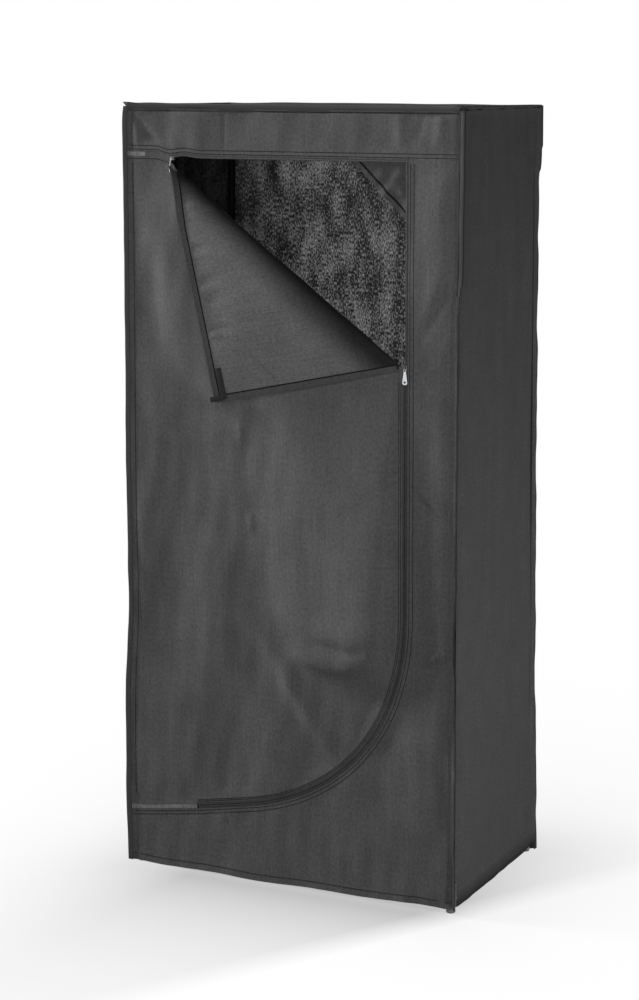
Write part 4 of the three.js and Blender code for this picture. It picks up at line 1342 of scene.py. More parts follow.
@dataclass
class FrontCover:
    """Valance, left strip with the door, and the lower panel with the strip up the right side."""

    pitch: float = 8.0
    hem_left: float = 2.0
    hem_right: float = 9.0
    seam_band: float = 28.0  # width beside the seams that has the finer grid
    swing_half: float = 24.0  # half width of the cloth that bends as the door swings
    hinge: tuple = ((-262.0, 1490.0), (-211.0, 141.0))

    def hem(self, x: Array) -> Array:
        """Height of the hem, drawn up at the right corner.

        Args:
            x: places across the front, in millimetres.

        Returns:
            Heights.
        """
        rise = smooth(x, -120.0, 368.0) * (self.hem_right - self.hem_left)
        sway = 1.2 * np.sin(x / 37.0) * smooth(368 - np.abs(x), 0, 40)
        return self.hem_left + rise + bell(x + 345.0, 22.0) + sway

    def sheet(self, name: str, flat: tuple, nodes: tuple, body: str | None = "root") -> Object:
        """Makes one cloth of the front; its rim takes the near-black inside finish as painted
        shade, but for the valance's.

        Args:
            name: name of the piece.
            flat: its flat grid's x and z.
            nodes: the nodes that it stands for.
            body: the body that it rides on, or None.

        Returns:
            The new object.
        """
        # the door's inner face takes the darker lining, painted shade
        finishes = [COVER, LINING_SHADED, INSIDE_SHADED] if "door_panel" in nodes else [COVER, INSIDE_SHADED]
        made = cut_cloth(name, plane(*flat, RELIEF.at(*flat)), flat, finishes, nodes, body)
        rim = 0 if "front_valance" in nodes else len(finishes) - 1
        made.modifiers["thickness"].material_offset_rim = rim
        return made

    def valance(self) -> None:
        """The band between the top seam and the zip."""
        low, wide, band = ZIP.top + ZIP.cloth_off, CABINET.half_width, self.seam_band
        heights = spaced(low, (low + 18.0, 10), (CABINET.top - 14.0, 18), (CABINET.top, 12))
        columns = spaced(-wide, (-wide + band, 12), (wide - band, 134), (wide, 12))
        x, z = np.meshgrid(columns, heights)
        z = z + (ZIP.upper(x) - ZIP.top) * (CABINET.top - z) / (CABINET.top - low)
        made = self.sheet("valance_cloth", (x, z), ("front_valance",))

    def door(self) -> None:
        """Left strip and door in one cloth, ruled upright from the lower zip to the fold line."""
        right = FOLD.apex[0]
        x = np.concatenate([np.linspace(-CABINET.half_width, 180.0, 84, endpoint=False),
                            right - (right - 180.0) * np.linspace(1.0, 0.0, 26) ** 2])
        low_line = ZIP.beside(FOLD.apex[2], -ZIP.cloth_off)[::-1]
        curve = low_line[low_line[:, 1] < ZIP.bend]
        on_curve = np.interp(x, curve[:, 0], curve[:, 1])
        low = np.where(x < curve[0, 0], ZIP.tail(x) + ZIP.cloth_off, on_curve)
        high = np.interp(x, [-268.0, -256.0, right],
                         [ZIP.top - ZIP.cloth_off, FOLD.line_z(-256.0), FOLD.apex[2]])
        high = high + (ZIP.upper(x) - ZIP.top) * (x < -266.0)
        flat = ruled(np.column_stack([x, low]), np.column_stack([x, high]), 150)
        made = self.sheet("door_cloth", flat, ("front_left_strip", "door_panel"), None)
        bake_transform(made)

    def lower(self) -> None:
        """Apron and right strip, ruled from the zip's outer side to the hem and the right seam."""
        wide, top = CABINET.half_width, ZIP.top + ZIP.cloth_off - 0.3
        tail_x = np.linspace(-wide, ZIP.end[0] - 4.0, 20)
        tail = np.column_stack([tail_x, ZIP.tail(tail_x) - ZIP.cloth_off])
        inner = evenly(np.vstack([tail, ZIP.beside(top, ZIP.cloth_off)[::-1]]), self.pitch)
        off_corner = np.abs(inner[:, 0] + inner[:, 1] * 0.45 - 300.0)
        corner = int(np.argmin(off_corner + 1e3 * (inner[:, 1] > 480)))
        across = np.linspace(-wide, wide, corner + 1)
        up = np.linspace(self.hem_right, top, len(inner) - corner)[1:]
        outer = np.vstack([np.column_stack([across, self.hem(across)]),
                           np.column_stack([np.full(len(up), wide), up])])
        flat = ruled(outer, inner, 34)
        made = self.sheet("lower_cloth", flat, ("front_lower_panel",))

    def build(self) -> None:
        """Makes the three cloths."""
        self.valance()
        self.door()
        self.lower()


@dataclass
class WidePanels:
    """Side, back and top cloths, which draw in a little between the tubes."""

    billow: float = 5.0
    streak: float = 2.0
    curl: float = 15.0
    columns: int = 64
    rows: int = 150

    def hem(self, along_panel: Array, rise: float) -> Array:
        """Height of a hem that sags between the posts; along_panel runs from -1 to 1."""
        return 3.0 + rise * along_panel**4 + 1.2 * np.sin(along_panel * 7.0)

    def out(self, across: Array, z: Array, half: float, seed: int) -> Array:
        """Relief outward of a wide panel.

        A dip of sines, upright streaks, broad waves, a dip and lift along the upright edges
        and a tuck above the hem, which curls in. It keeps out over the top connectors.

        Args:
            across: distance from the panel's middle.
            z: height.
            half: half of the panel's width.
            seed: start of the random draws.

        Returns:
            Millimetres outward.
        """
        u, v = across / half, z / CABINET.top
        edge = half - np.abs(across)
        total = -self.billow * np.cos(u * math.pi / 2) * np.sin(np.clip(v, 0, 1) * math.pi)
        streaks = self.streak * waves(across, z, seed + 1, 55.0, 9.0)
        body = 1.8 * waves(across, z, seed, 230.0, 1.8) + streaks
        total = total + body * smooth(edge, 0.0, 45.0) * (0.3 + 0.7 * smooth(z, 15.0, 120.0))
        total += -2.4 * bell(edge - 13.0, 7.0) + 3.2 * bell(edge, 5.0)
        held = smooth(z, 1480.0, 1530.0) * (1.0 - smooth(edge, 30.0, 70.0))
        total = total * (1.0 - held) + np.maximum(total, 0.4) * held
        tuck = 3.0 * bell(z - 34.0 - 4.0 * u, 9.0) * smooth(edge, 0.0, 60.0)
        total += 3.0 * bell(CABINET.top - z, 6.0) - tuck
        total = total + 4.0 * (1.0 - smooth(z, 0.0, 60.0)) * smooth(edge, 0.0, 50.0)
        return total - self.curl * np.clip(1.0 - z / 24.0, 0.0, 1.0) ** 2 * smooth(edge, 0.0, 14.0)

    def side(self, way: int) -> None:
        """Makes one side's cloth; way is LEFT or RIGHT.

        Args:
            way: which side, LEFT or RIGHT.
        """
        half = CABINET.half_depth
        u, v = np.meshgrid(np.linspace(-1.0, 1.0, self.columns), np.linspace(0.0, 1.0, self.rows))
        low = self.hem(u, np.where(way * u < 0, 6.0, 0.0))
        z = low + v * (CABINET.top - low)
        y = way * u * half
        pull = drawn(way, np.where(y < 0, FRONT, BACK), z, half - np.abs(y))
        x = way * (CABINET.half_width + self.out(y, z, half, 20 + way) + pull)
        name = "right" if way == RIGHT else "left"
        made = cut_cloth(f"{name}_side_cloth", np.stack([x, y, z], axis=-1), (y, z),
                         [SIDE, INSIDE_SHADED], (f"{name}_side_panel",))

    def back(self) -> None:
        """Makes the back's cloth."""
        half = CABINET.half_width
        u, v = np.meshgrid(np.linspace(1.0, -1.0, 100), np.linspace(0.0, 1.0, self.rows))
        low = self.hem(u, 5.0)
        z = low + v * (CABINET.top - low)
        x = u * half
        way = np.where(x < 0, LEFT, RIGHT)
        pull = way * drawn(way, BACK, z, half - np.abs(x))
        points = np.stack([x + pull, CABINET.half_depth + self.out(x, z, half, 31), z], axis=-1)
        made = cut_cloth("back_cloth", points, (x, z), [COVER, INSIDE_BACK], ("back_panel",))

    def roof(self) -> None:
        """Makes the top's cloth, which sags a little between the rails."""
        wide, deep = CABINET.half_width - CLOTH, CABINET.half_depth - CLOTH
        x, y = np.meshgrid(np.linspace(-wide, wide, 96), np.linspace(-deep, deep, 60))
        u, v = x / wide, y / deep
        sag = 1.6 * waves(x, y, 44, 160.0) * (1 - u**6) * (1 - v**6)
        sag = sag - 9.0 * (1 - u**4) * (1 - v**4)
        sag += 2.5 * (np.maximum(np.abs(u), np.abs(v)) > 0.995)
        points = np.stack([x, y, CABINET.top + sag], axis=-1)
        made = cut_cloth("roof_cloth", points, (x, y), [COVER, INSIDE_SHADED], ("top_panel",))

    def build(self) -> None:
        """Makes the four cloths."""
        self.side(LEFT)
        self.side(RIGHT)
        self.back()
        self.roof()


@dataclass
class Seams:
    """Standing seams: two cloths sewn edge to edge with a binding, wavy along their length."""

    reach: float = 9.0
    rim_reach: float = 10.0
    half_thick: float = 0.9
    chamfer: float = 2.2
    sunk: float = 1.5
    spike: float = 2.6
    wobble: float = 1.1
    left_ahead: float = 1.8  # the front left seam stands this far ahead of the corner
    dark_below: float = 1235.0  # height up to which all of the front right seam takes the painted shade
    edge_faces: tuple = (1, 2, 3)  # faces of the section that make its outer edge, painted dark as painted shade

    def profile(self, reach: float) -> Array:
        """Section of a bound seam: side across its thickness, out away from the cover.

        Args:
            reach: how far the seam stands out.

        Returns:
            Pairs of side and out.
        """
        t, low, shoulder = self.half_thick, -self.sunk, reach - self.chamfer
        return np.array([(-t, low), (-t, shoulder), (-t * 0.5, reach), (t * 0.5, reach),
                         (t, shoulder), (t, low)])

    def upright(self, name: str, sx: int, sy: int) -> None:
        """Makes one upright seam at a corner of the cover; its outer edge is painted dark as
        painted shade.

        Args:
            name: the corner's name.
            sx, sy: the corner's sides.
        """
        seen = (sx, sy) == (RIGHT, FRONT)
        start = CABINET.hem - (2.0 if seen else 10.0)
        z = np.append(np.arange(start, CABINET.top + 4.0, 7.0), CABINET.top + 5.0)
        corner, level = CORNERS[(sx, sy)], np.zeros_like(z)
        angle = corner.angle(z)
        out = np.stack([sx * np.cos(angle), sy * np.sin(angle), level], axis=-1)
        side = np.stack([-out[:, 1], out[:, 0], level], axis=-1)
        seed = 60 + 2 * sx + sy
        sway = self.wobble * waves(z, level, seed, 240.0) + 0.8 * waves(z, level, seed + 9, 90.0)
        ahead = self.left_ahead if (sx, sy) == (LEFT, FRONT) else 0.0
        path = np.stack([sx * (CABINET.half_width + corner.out(z)),
                         sy * CABINET.half_depth - ahead + level, z], axis=-1)
        profile = self.profile(self.reach)
        made = piece(f"{name}_seam_binding",
                     *swept(path + side * sway[:, None], side, out, profile))
        ring, part = np.divmod(np.arange(len(made.data.polygons)), len(profile))
        # painted shade: the outer edge, and all of the front right seam below dark_below
        low = z[np.minimum(ring, len(z) - 1)] < self.dark_below
        # the front right seam's binding is a darker copy, as painted shade
        binding = FRONT_BINDING_SHADED if seen else BINDING
        dress(made, "root", [binding, EDGE], (f"{name}_seam",))
        paint(made, np.isin(part, self.edge_faces) | (seen & low))
        turn_faces_out(made)

    def top(self) -> None:
        """Makes the seam round the roof, which stands up with its corners drawn out to points."""
        wx, wy = CABINET.half_width, CABINET.half_depth
        corners = np.array([[wx, wy], [-wx, wy], [-wx, -wy], [wx, -wy], [wx, wy]], float)
        run = np.vstack([evenly(corners, 7.0)[:-1], corners[:-1]])
        run = run[np.argsort(np.arctan2(run[:, 1] / wy, run[:, 0] / wx))]
        run = run[np.linalg.norm(run - np.roll(run, 1, axis=0), axis=1) > 0.5]
        corner = np.min(np.linalg.norm(run[:, None] - corners[None, :-1], axis=2), axis=1)
        on_side = np.abs(run[:, :1]) / wx > np.abs(run[:, 1:]) / wy
        flat_out = np.where(on_side, [[1.0, 0.0]], [[0.0, 1.0]]) * np.sign(run)
        flat_out = np.where(corner[:, None] < 2.0, np.sign(run), flat_out)
        bump = bell(corner, 16.0)[:, None]
        sway = 0.9 * waves(run[:, 0], run[:, 1], 71, 190.0)[:, None] * (1 - bump)
        flat, up = np.column_stack([flat_out, np.zeros(len(run))]), np.array([0.0, 0.0, 1.0])
        ahead = smooth(-run[:, 1:], -100.0, wy) * (1.0 - 0.35 * smooth(run[:, :1], -wx, wx))
        reach = 0.68 + 0.5 * ahead + bump * ahead * self.spike / self.rim_reach
        out = (flat * (0.3 + 0.3 * bump) + up * 0.95) * reach
        path = np.column_stack([run, np.full(len(run), CABINET.top)])
        path = path + up * sway * 0.7 + flat * sway * 0.6
        profile = self.profile(self.rim_reach)
        made = piece("top_seam_binding",
                     *swept(path, flat * 0.95 - up * 0.3, out, profile, ring=True))
        dress(made, "root", [RIM, BINDING], ("top_seam",))
        part = np.arange(len(made.data.polygons)) % len(profile)
        paint(made, np.isin(part, self.edge_faces))
        turn_faces_out(made)

    def build(self) -> None:
        """Makes the four upright seams and the one round the roof."""
        for name, sx, sy in (("front_left", LEFT, FRONT), ("front_right", RIGHT, FRONT),
                             ("back_left", LEFT, BACK), ("back_right", RIGHT, BACK)):
            self.upright(name, sx, sy)
        self.top()


@dataclass
class Flap:
    """The door's corner, folded down and out, and the facing inside the door along the fold."""

    rays: int = 84
    rings: int = 96
    top: float = 1486.0
    start: float = 8.0
    roll: float = 31.0
    roll_width: float = 44.0
    trim: float = 18.0  # how much of the corner at the top slider is turned in

    def relief(self, x: Array, z: Array) -> Array:
        """Depth of the flap's creases behind the middle of the cloth.

        The soft roll beside the fold rises by 1 - exp(-1.3 s^2), with s the distance from the
        fold line over the roll's width, and falls evenly from there to the bands.

        Args:
            x, z: places on its flat cut.

        Returns:
            Millimetres.
        """
        edge = np.minimum(self.top - z, FOLD.apex[0] - x)
        body = 1.6 * waves(x, z, 91, 150.0) + 0.3 * waves(x, z, 97, 60.0)
        for crease in FLAP_CREASES:
            body = body + crease.at(x, z)
        reach = np.hypot(x - FOLD.apex[0], z - FOLD.apex[2])
        off_fold = np.maximum((x - FOLD.apex[0]) * 0.6 + (z - FOLD.apex[2]) * 0.8, 0.0)
        share = off_fold / (self.roll_width * (0.25 + 0.75 * smooth(reach, 0.0, 300.0)))
        inside = np.maximum(edge - 14.0, 0.0)
        roll = self.roll * smooth(reach, 10.0, 240.0) * (1.0 - np.exp(-1.3 * share**2))
        body = body * smooth(edge, 4.0, 22.0) * smooth(reach, 20.0, 120.0)
        return body + roll * inside / (inside + off_fold + 1.0)

    def cloth(self) -> None:
        """Makes the folded corner: rays of the cone from its point to its top and side edges."""
        share = np.linspace(0.0, 1.0, self.rays)
        angle = np.sort(np.concatenate([FOLD.corner * share, np.linspace(0.0, 0.24, 40)[1:-1]]))
        way = FOLD.ways_at(angle)
        turned_in = self.trim * (1.0 - smooth(angle, 0.0, 0.07))
        far = (self.top - FOLD.apex[2]) / way[:, 2] - turned_in
        x, z = FOLD.fan(way, self.start, far, self.rings)
        x, z = np.minimum(x, FOLD.apex[0])[:, ::-1], z[:, ::-1]
        z = np.minimum(z, self.top - self.trim * (1.0 - smooth(x, -262.0, -205.0)))
        made = woven("flap_cloth", FOLD.place(x, z, self.relief(x, z)), (x, z))
        looks_out = sum(face.normal.y for face in made.data.polygons) < 0
        finishes = [REVERSE_LIT_AND_SHADED, COVER] if looks_out else [COVER, REVERSE_LIT_AND_SHADED]
        dress(made, "flap", finishes, ("door_flap",))
        solidify(made).modifiers["thickness"].offset = 0
        FOLD.squash(made)

    def facing(self) -> None:
        """Makes the cloth inside the door along the fold, which fills the fold when shut."""
        way = FOLD.ways_at(np.linspace(-0.46, -0.003, 24))
        x, z = FOLD.fan(way, 20.0, np.minimum(632.0, -537.0 / way[:, 0]), 60)
        points = np.stack([x, np.full(x.shape, CABINET.front + 3.2), z], axis=-1)
        made = cut_cloth("door_fold_facing", points, (x, z), [COVER, LINING_SHADED], (), "door")
        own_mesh(made)

    def far_facing(self) -> None:
        """Makes the facing inside the door's hinge end, which rises to fill the fold when shut.

        Its shut place is a band above the fold line. Its height at rest is the shut height
        stretched by 1 / keep about level: z = level + (shut z - level) / keep.
        """
        keep, level = 0.35, FOLD.apex[2] + 457.0
        x = np.linspace(-285.0, -70.0, 40)
        low = FOLD.line_z(x) - 7.0
        high = np.minimum(FOLD.apex[2] + (FOLD.apex[0] - x) * 0.92, ZIP.top + 8.0)
        x, shut = ruled(np.column_stack([x, low]), np.column_stack([x, high]), 24)
        z = level + (shut - level) / keep
        points = np.stack([x, np.full(x.shape, CABINET.front + 4.6), z], axis=-1)
        made = cut_cloth("hinge_end_facing", points, (x, shut), [COVER, LINING_SHADED], (), "door")
        turn_front(made)
        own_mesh(made)

    def tab(self, name: str, x_span: tuple, z_span: tuple, lift: float) -> None:
        """Makes a loose end of tape at the corner.

        Args:
            name: name of the piece.
            x_span, z_span: where it lies on the shut corner.
            lift: millimetres over the flap's near face.
        """
        x, z = np.meshgrid(np.linspace(*x_span, 12), np.linspace(*z_span, 12))
        u = (x - x_span[0]) / (x_span[1] - x_span[0])
        v = (z - z_span[0]) / (z_span[1] - z_span[0])
        depth = lift + 1.2 * np.sin(np.pi * u) + 0.8 * np.sin(np.pi * v)
        made = dress(woven(name, FOLD.place(x, z, depth), (x, z)), "flap", [TAB])
        solidify(made, 0.8).modifiers["thickness"].offset = 0
        FOLD.squash(made)

    def build(self) -> None:
        """Makes the folded corner, its facings and its loose tape ends."""
        self.cloth()
        self.facing()
        self.far_facing()
        self.tab("corner_tape_end", (188.0, 252.0), (1462.0, 1474.0), 3.0)
        self.tab("corner_tape_loop", (243.0, 254.0), (1466.0, 1497.0), 5.0)


@dataclass
class Gusset:
    """Cloth across the top right corner behind the zips."""

    left: float = 138.0
    low: float = 1376.0
    behind: float = 4.2
    cover: float = 18.0  # how far it reaches behind the cloth beside the opening
    hem_row: int = 2  # row of the grid that is its stitched hem

    def build(self) -> None:
        """Makes a triangle ruled from its slanted hem to the corner, its outer edges forward."""
        right, top = ZIP.x + self.cover, ZIP.top + self.cover
        hem = np.linspace([self.left - 16.0, top], [right, self.low - 18.0], 40)
        corner = np.linspace([right - 8.0, top], [right, top - 8.0], 40)
        x, z = ruled(hem, corner, 24)
        rim = np.minimum(right - x, top - z)
        creases = 2.4 * waves(x, z, 52, 48.0) * smooth(rim, 2, 20)
        back = 1.6 + self.behind * smooth(rim, 2.0, 16.0) + creases
        made = piece("gusset_cloth", plane(x, z, -back), grid_faces(*x.shape)[:, ::-1],
                     np.stack([x, z], axis=-1) * MM)
        turn_front(made)
        dress(made, "root", [LINING_SHADED, INSIDE_SHADED, THREAD_AND_GROOVE_SHADE], ("corner_gusset",))
        row = np.arange(len(made.data.polygons)) // (x.shape[1] - 1)
        paint(made, 2 * (row == self.hem_row))
        solidify(made)


# Zip

@dataclass
class ZipTapes:
    """Woven tapes, each with a row of nylon teeth along its inner edge."""

    pitch: float = 2.0
    tooth: tuple = (3.2, 1.25, 2.6)
    row_at: float = 2.3
    inner: float = 0.2
    outer: float = 16.0
    under: float = 1.2  # the side's tape reaches this much further under the door's
    depth: float = 0.5  # the tape's middle behind the front's outer face
    top_left: float = -273.0
    columns: int = 12
    tail_turn: float = 4.0  # width of the cloth on each side of a tail's ribbon
    sewn_to: dict = field(default_factory=lambda: {
        "side": "lower_cloth", "top": "valance_cloth", "door": "door_cloth", "flap": "flap_cloth"})

    def line(self, row: str, off: float, pitch: float) -> Array:
        """Line of one row.

        Args:
            row: which of the four.
            off: millimetres from the centre line.
            pitch: about how far apart its points are.

        Returns:
            Pairs of x and z.
        """
        above, below, low = ZIP.top + off, ZIP.top - off, FOLD.apex[2]
        if row == "side":
            points = ZIP.beside(above, off)
        elif row == "top":
            points = np.array([[self.top_left, above], [ZIP.x + off, above]])
        elif row == "door":
            points = ZIP.beside(low - 4.0, -off)
        else:
            start = FOLD.apex[0] - (below - low) / 0.75 + 32.0
            points = np.array([[start, below], [ZIP.x - off, below], [ZIP.x - off, low + 12.0]])
        return evenly(points, pitch)

    def put(self, row: str, line: Array, behind: float) -> Array:
        """Places of a row's points; the flap's row goes round the fold.

        Args:
            row: which of the four.
            line: pairs of x and z.
            behind: millimetres behind the front's face.

        Returns:
            Places in the cabinet.
        """
        if row == "flap":
            return FOLD.place(line[:, 0], line[:, 1], behind + 0.4)
        rise = ZIP.upper(line[:, 0]) - ZIP.top if row == "top" else 0.0
        return plane(line[:, 0], line[:, 1] + rise, np.full(len(line), -behind))

    def tape(self, row: str) -> Object:
        """A woven tape as a ribbon between its two edges.

        Args:
            row: which of the four.

        Returns:
            The new object.
        """
        inner = self.inner - (self.under if row == "side" else 0.0)
        offs = np.linspace(inner, self.outer, self.columns + 1)
        lines = [self.line(row, off, 5.0) for off in offs]
        steps = min(len(line) for line in lines) - 1
        even = [evenly(line, 1e-9 + run_of(line)[-1] / steps) for line in lines]
        count = min(len(line) for line in even)
        flat = np.stack([line[:count] for line in even], axis=1)
        places = [self.put(row, line[:count], self.depth) for line in even]
        return woven(f"{row}_tape_weave", np.stack(places, axis=1), (flat[..., 0], flat[..., 1]))

    def teeth(self, row: str) -> Object:
        """A row of teeth, each lying across the line.

        Args:
            row: which of the four.

        Returns:
            The new object.
        """
        line = self.line(row, self.row_at, self.pitch)
        places = self.put(row, line, self.depth - 0.3)
        way = along(places)
        out = np.broadcast_to([0.0, -1.0, 0.0], places.shape)
        if row == "flap":
            out = unit(self.put(row, line, self.depth - 1.3) - places)
        axes = np.stack([unit(np.cross(way, out)), way, out], axis=1)
        return piece(f"{row}_zip_teeth", *repeated(*grain(*self.tooth), places, axes))

    def build(self) -> None:
        """Makes the four tapes with their teeth, and the tails."""
        for row, body in (("side", "root"), ("top", "root"), ("door", "door"), ("flap", "flap")):
            on_flap = row == "flap"
            tape = self.tape(row)
            if not on_flap:
                turn_front(tape)
            dress(tape, body, [TAPE, THREAD_AND_GROOVE_SHADE], (f"{row}_zip_tape",))
            if on_flap:
                # the two columns furthest from the teeth take the dark thread finish: a dark line
                # along the tape's inner edge, painted shadow of the cloth's edge
                column = np.arange(len(tape.data.polygons)) % self.columns
                paint(tape, column >= self.columns - 2)
            wall = solidify(tape).modifiers["thickness"]
            wall.offset, wall.material_offset = 0, 0
            finish = NYLON if row == "top" else NYLON_SHADE
            teeth = dress(self.teeth(row), body, [finish])
            if on_flap:
                FOLD.squash(tape)
                FOLD.squash(teeth)
        self.tails()

    def tails(self) -> None:
        """Makes the ribbons from the zip's ends to the left edge, the top one with a light end."""
        left, end = -CABINET.half_width + 1.0, ZIP.end[0]
        for name, right, half, light_to, middle in (
                ("top", self.top_left, 5.0, -329.0, ZIP.upper),
                ("bottom", end - 4.0, 5.4, end, ZIP.tail)):
            x, v = np.meshgrid(np.linspace(left, right, 40), np.linspace(-1.0, 1.0, 9))
            wide = half + self.tail_turn
            z = middle(x) + v * wide
            made = woven(f"{name}_tail_weave", plane(x, z, 0.5 * (1.0 - v**2) - 0.9), (x, z))
            dress(made, "root", [TAIL, COVER], (f"zip_tail_{name}",))
            beside = np.abs(v[:-1, :-1] + v[1:, 1:]) / 2 * wide > half
            paint(made, (x[:-1, :-1] > light_to) | beside)
            solidify(made).modifiers["thickness"].material_offset = 0


@dataclass
class ZipMetal:
    """Sliders and pulls."""

    edge: float = 0.18

    def build(self) -> None:
        """Rounded copies of the frame's sliders and pulls."""
        for end in ("top", "side"):
            for part in ("slider", "pull"):
                made = rebuilt(f"{end}_{part}_metal", f"{end}_zip_{part}", self.edge)
                finish = METAL if part == "pull" else GUNMETAL
                dress(made, f"{end}_{part}", [finish], (f"{end}_zip_{part}",))


@dataclass
class Stitching:
    """Double rows of lockstitch beside the zips and along the hems."""

    pitch: float = 3.4
    stitch: tuple = (3.2, 1.6, 0.6)
    rows: tuple = (9.5, 17.0)
    door_rows: tuple = (9.0, 12.5)
    hem_up: float = 14.0
    beside_seam: tuple = (0.6, 2.0, 3.4)

    def along_front(self, name: str, lines: list) -> Object:
        """Stitches along lines on the front; they lie on the relief of the cloth.

        Args:
            name: name of the piece.
            lines: pairs of x and z of each line.

        Returns:
            The new object.
        """
        even = [evenly(line, self.pitch) for line in lines]
        x, z = np.vstack(even).T
        way = np.insert(np.vstack([along(line) for line in even]), 1, 0.0, axis=1)
        places = plane(x, z, RELIEF.at(x, z) + 0.12)
        normal = np.broadcast_to([0.0, -1.0, 0.0], way.shape)
        axes = np.stack([way, np.cross(normal, way), normal], axis=1)
        return piece(name, *repeated(*grain(*self.stitch), places, axes))

    def build(self) -> None:
        """Makes the stitches of the root's and the door's cloth."""
        left, right, top = -CABINET.half_width + 6.0, CABINET.half_width - 6.0, CABINET.top
        upper = np.append(np.linspace(left, -190.0, 24), right)
        tail = np.linspace(left, ZIP.end[0], 30)
        low = np.linspace(left, right, 60)
        strip = np.linspace(left, -275.0, 8)
        fixed = []
        for off in self.rows:
            fixed += [ZIP.beside(ZIP.top - 4.0, off),
                      np.column_stack([upper, ZIP.upper(upper) + off]),
                      np.column_stack([tail, ZIP.tail(tail) - off])]
        fixed.append(np.column_stack([low, FrontCover().hem(low) + self.hem_up]))
        fixed += [np.array([[start, top - down], [right, top - down]])
                  for start, down in ((left, 3.8), (-60.0, 5.4))]
        fixed += [np.array([[right + off, 1236.0], [right + off, top - 8.0]])
                  for off in self.beside_seam]
        fixed += [np.array([[left + 6.0, start], [left + 6.0, end]]) for start, end in (
            (24.0, 118.0), (150.0, ZIP.top - 14.0), (ZIP.top + 20.0, top - 6.0))]
        fixed.append(np.column_stack([strip, ZIP.upper(strip) - self.rows[0]]))
        door = [ZIP.beside(FOLD.apex[2] - 30.0, -off) for off in self.door_rows]
        for name, body, lines in (("cover", "root", fixed), ("door", "door", door)):
            dress(self.along_front(f"{name}_stitches", lines), body, [THREAD_AND_GROOVE_SHADE])


# Frame

@dataclass(frozen=True)
class Tube:
    """A round steel tube; a plugged one is drawn in at its far end."""

    node: str
    start: tuple
    end: tuple
    plugged: bool = False
    radius: float = 8.0
    bore: float = 7.2
    plug_radius: float = 6.9
    plug_bore: float = 6.1
    plug_length: float = 30.0
    taper: float = 3.0
    steps: int = 40

    def profile(self, length: float) -> Array:
        """Section of the wall, round from the near mouth.

        Args:
            length: of the tube without its plug.

        Returns:
            Pairs of the radius and the place along the axis.
        """
        r, b, e = self.radius, self.bore, 0.25
        if not self.plugged:
            return np.array([(r - e, 0), (r, e), (r, length - e), (r - e, length),
                             (b + e, length), (b, length - e), (b, e), (b + e, 0)])
        tip, shoulder = length + self.plug_length, length - self.taper
        inner, p = self.plug_bore, self.plug_radius
        return np.array([(r - e, 0), (r, e), (r, shoulder), (r - 0.3, length - self.taper * 0.7),
                         (p + 0.3, length - 0.5), (p, length), (p, tip - 1.2), (p - 0.35, tip),
                         (inner, tip), (inner, length), (b, shoulder), (b, e), (b + e, 0)])

    def build(self) -> Object:
        """Turns the profile about the line from start to end.

        Returns:
            The new object.
        """
        start, end = np.array(self.start, float), np.array(self.end, float)
        length = float(np.linalg.norm(end - start))
        way = (end - start) / length
        first = unit(np.cross(way, [0.3, 0.5, 0.81]))
        second = np.cross(way, first)
        angle = np.linspace(0.0, 2 * math.pi, self.steps, endpoint=False)[:, None, None]
        radius, at = self.profile(length).T
        ring = np.cos(angle) * first + np.sin(angle) * second
        points = start + ring * radius[None, :, None] + way * at[None, :, None]
        shape = points.shape[:2]
        faces = np.vstack([grid_faces(*shape, ring=True), closing_faces(*shape)])
        made = turn_faces_out(piece(f"{self.node}_steel", points, faces.tolist()))
        dress(made, "root", [PAINT], (self.node,))
        return bevel(made, 0.1, 1)


@dataclass
class SteelFrame:
    """Posts in three plugged lengths, rails, hanging rail, connectors, brackets and foot caps."""

    post_x: float = 355.0
    post_y: float = 205.0
    top_z: float = 1580.0
    bottom_z: float = 28.0
    joints: tuple = (530.0, 1060.0)
    gap: float = 0.3
    foot_floor: float = 3.0
    top_floor: float = 9.0
    side_floor: float = 9.6
    rail_z: float = 1543.0
    rail_reach: float = 357.7
    moulding_edge: float = 0.5

    def corners(self) -> list[tuple[str, float, float]]:
        """Name and place of each post."""
        return [(f"{y}_{x}", sx * self.post_x, sy * self.post_y)
                for y, sy in (("front", -1), ("back", 1)) for x, sx in (("left", -1), ("right", 1))]

    def tubes(self) -> None:
        """Makes all tubes."""
        low, high = self.joints
        spans = {"lower": (self.foot_floor + self.gap, low - self.gap),
                 "middle": (low, high - self.gap),
                 "upper": (high, self.top_z - self.top_floor - self.gap)}
        for corner, x, y in self.corners():
            for part, (start, end) in spans.items():
                plugged = part != "upper"
                Tube(f"{corner}_post_{part}", (x, y, start), (x, y, end), plugged).build()
        levels = (("top", self.top_z, self.top_floor), ("bottom", self.bottom_z, self.side_floor))
        for level, z, floor in levels:
            x, y = self.post_x - floor - self.gap, self.post_y - floor - self.gap
            for side, at in (("front", -self.post_y), ("back", self.post_y)):
                Tube(f"{side}_{level}_rail", (-x, at, z), (x, at, z)).build()
            for side, at in (("left", -self.post_x), ("right", self.post_x)):
                Tube(f"{side}_{level}_rail", (at, -y, z), (at, y, z)).build()
        reach = self.rail_reach
        Tube("hanging_rail", (-reach, 0, self.rail_z), (reach, 0, self.rail_z)).build()

    def moulded(self, node: str, kind: str, finish: HardFinish) -> None:
        """Makes one rounded copy of a moulding of the frame."""
        dress(rebuilt(f"{node}_{kind}", node, self.moulding_edge), "root", [finish], (node,))

    def build(self) -> None:
        """Makes the tubes, then connectors, foot caps and brackets."""
        self.tubes()
        for corner, _, _ in self.corners():
            self.moulded(f"{corner}_top_connector", "moulding", PLASTIC)
            self.moulded(f"{corner}_bottom_connector", "moulding", PLASTIC)
            self.moulded(f"{corner}_foot", "cap", FOOT)
        for side in ("left", "right"):
            self.moulded(f"{side}_rail_bracket", "moulding", PLASTIC)


# Studio

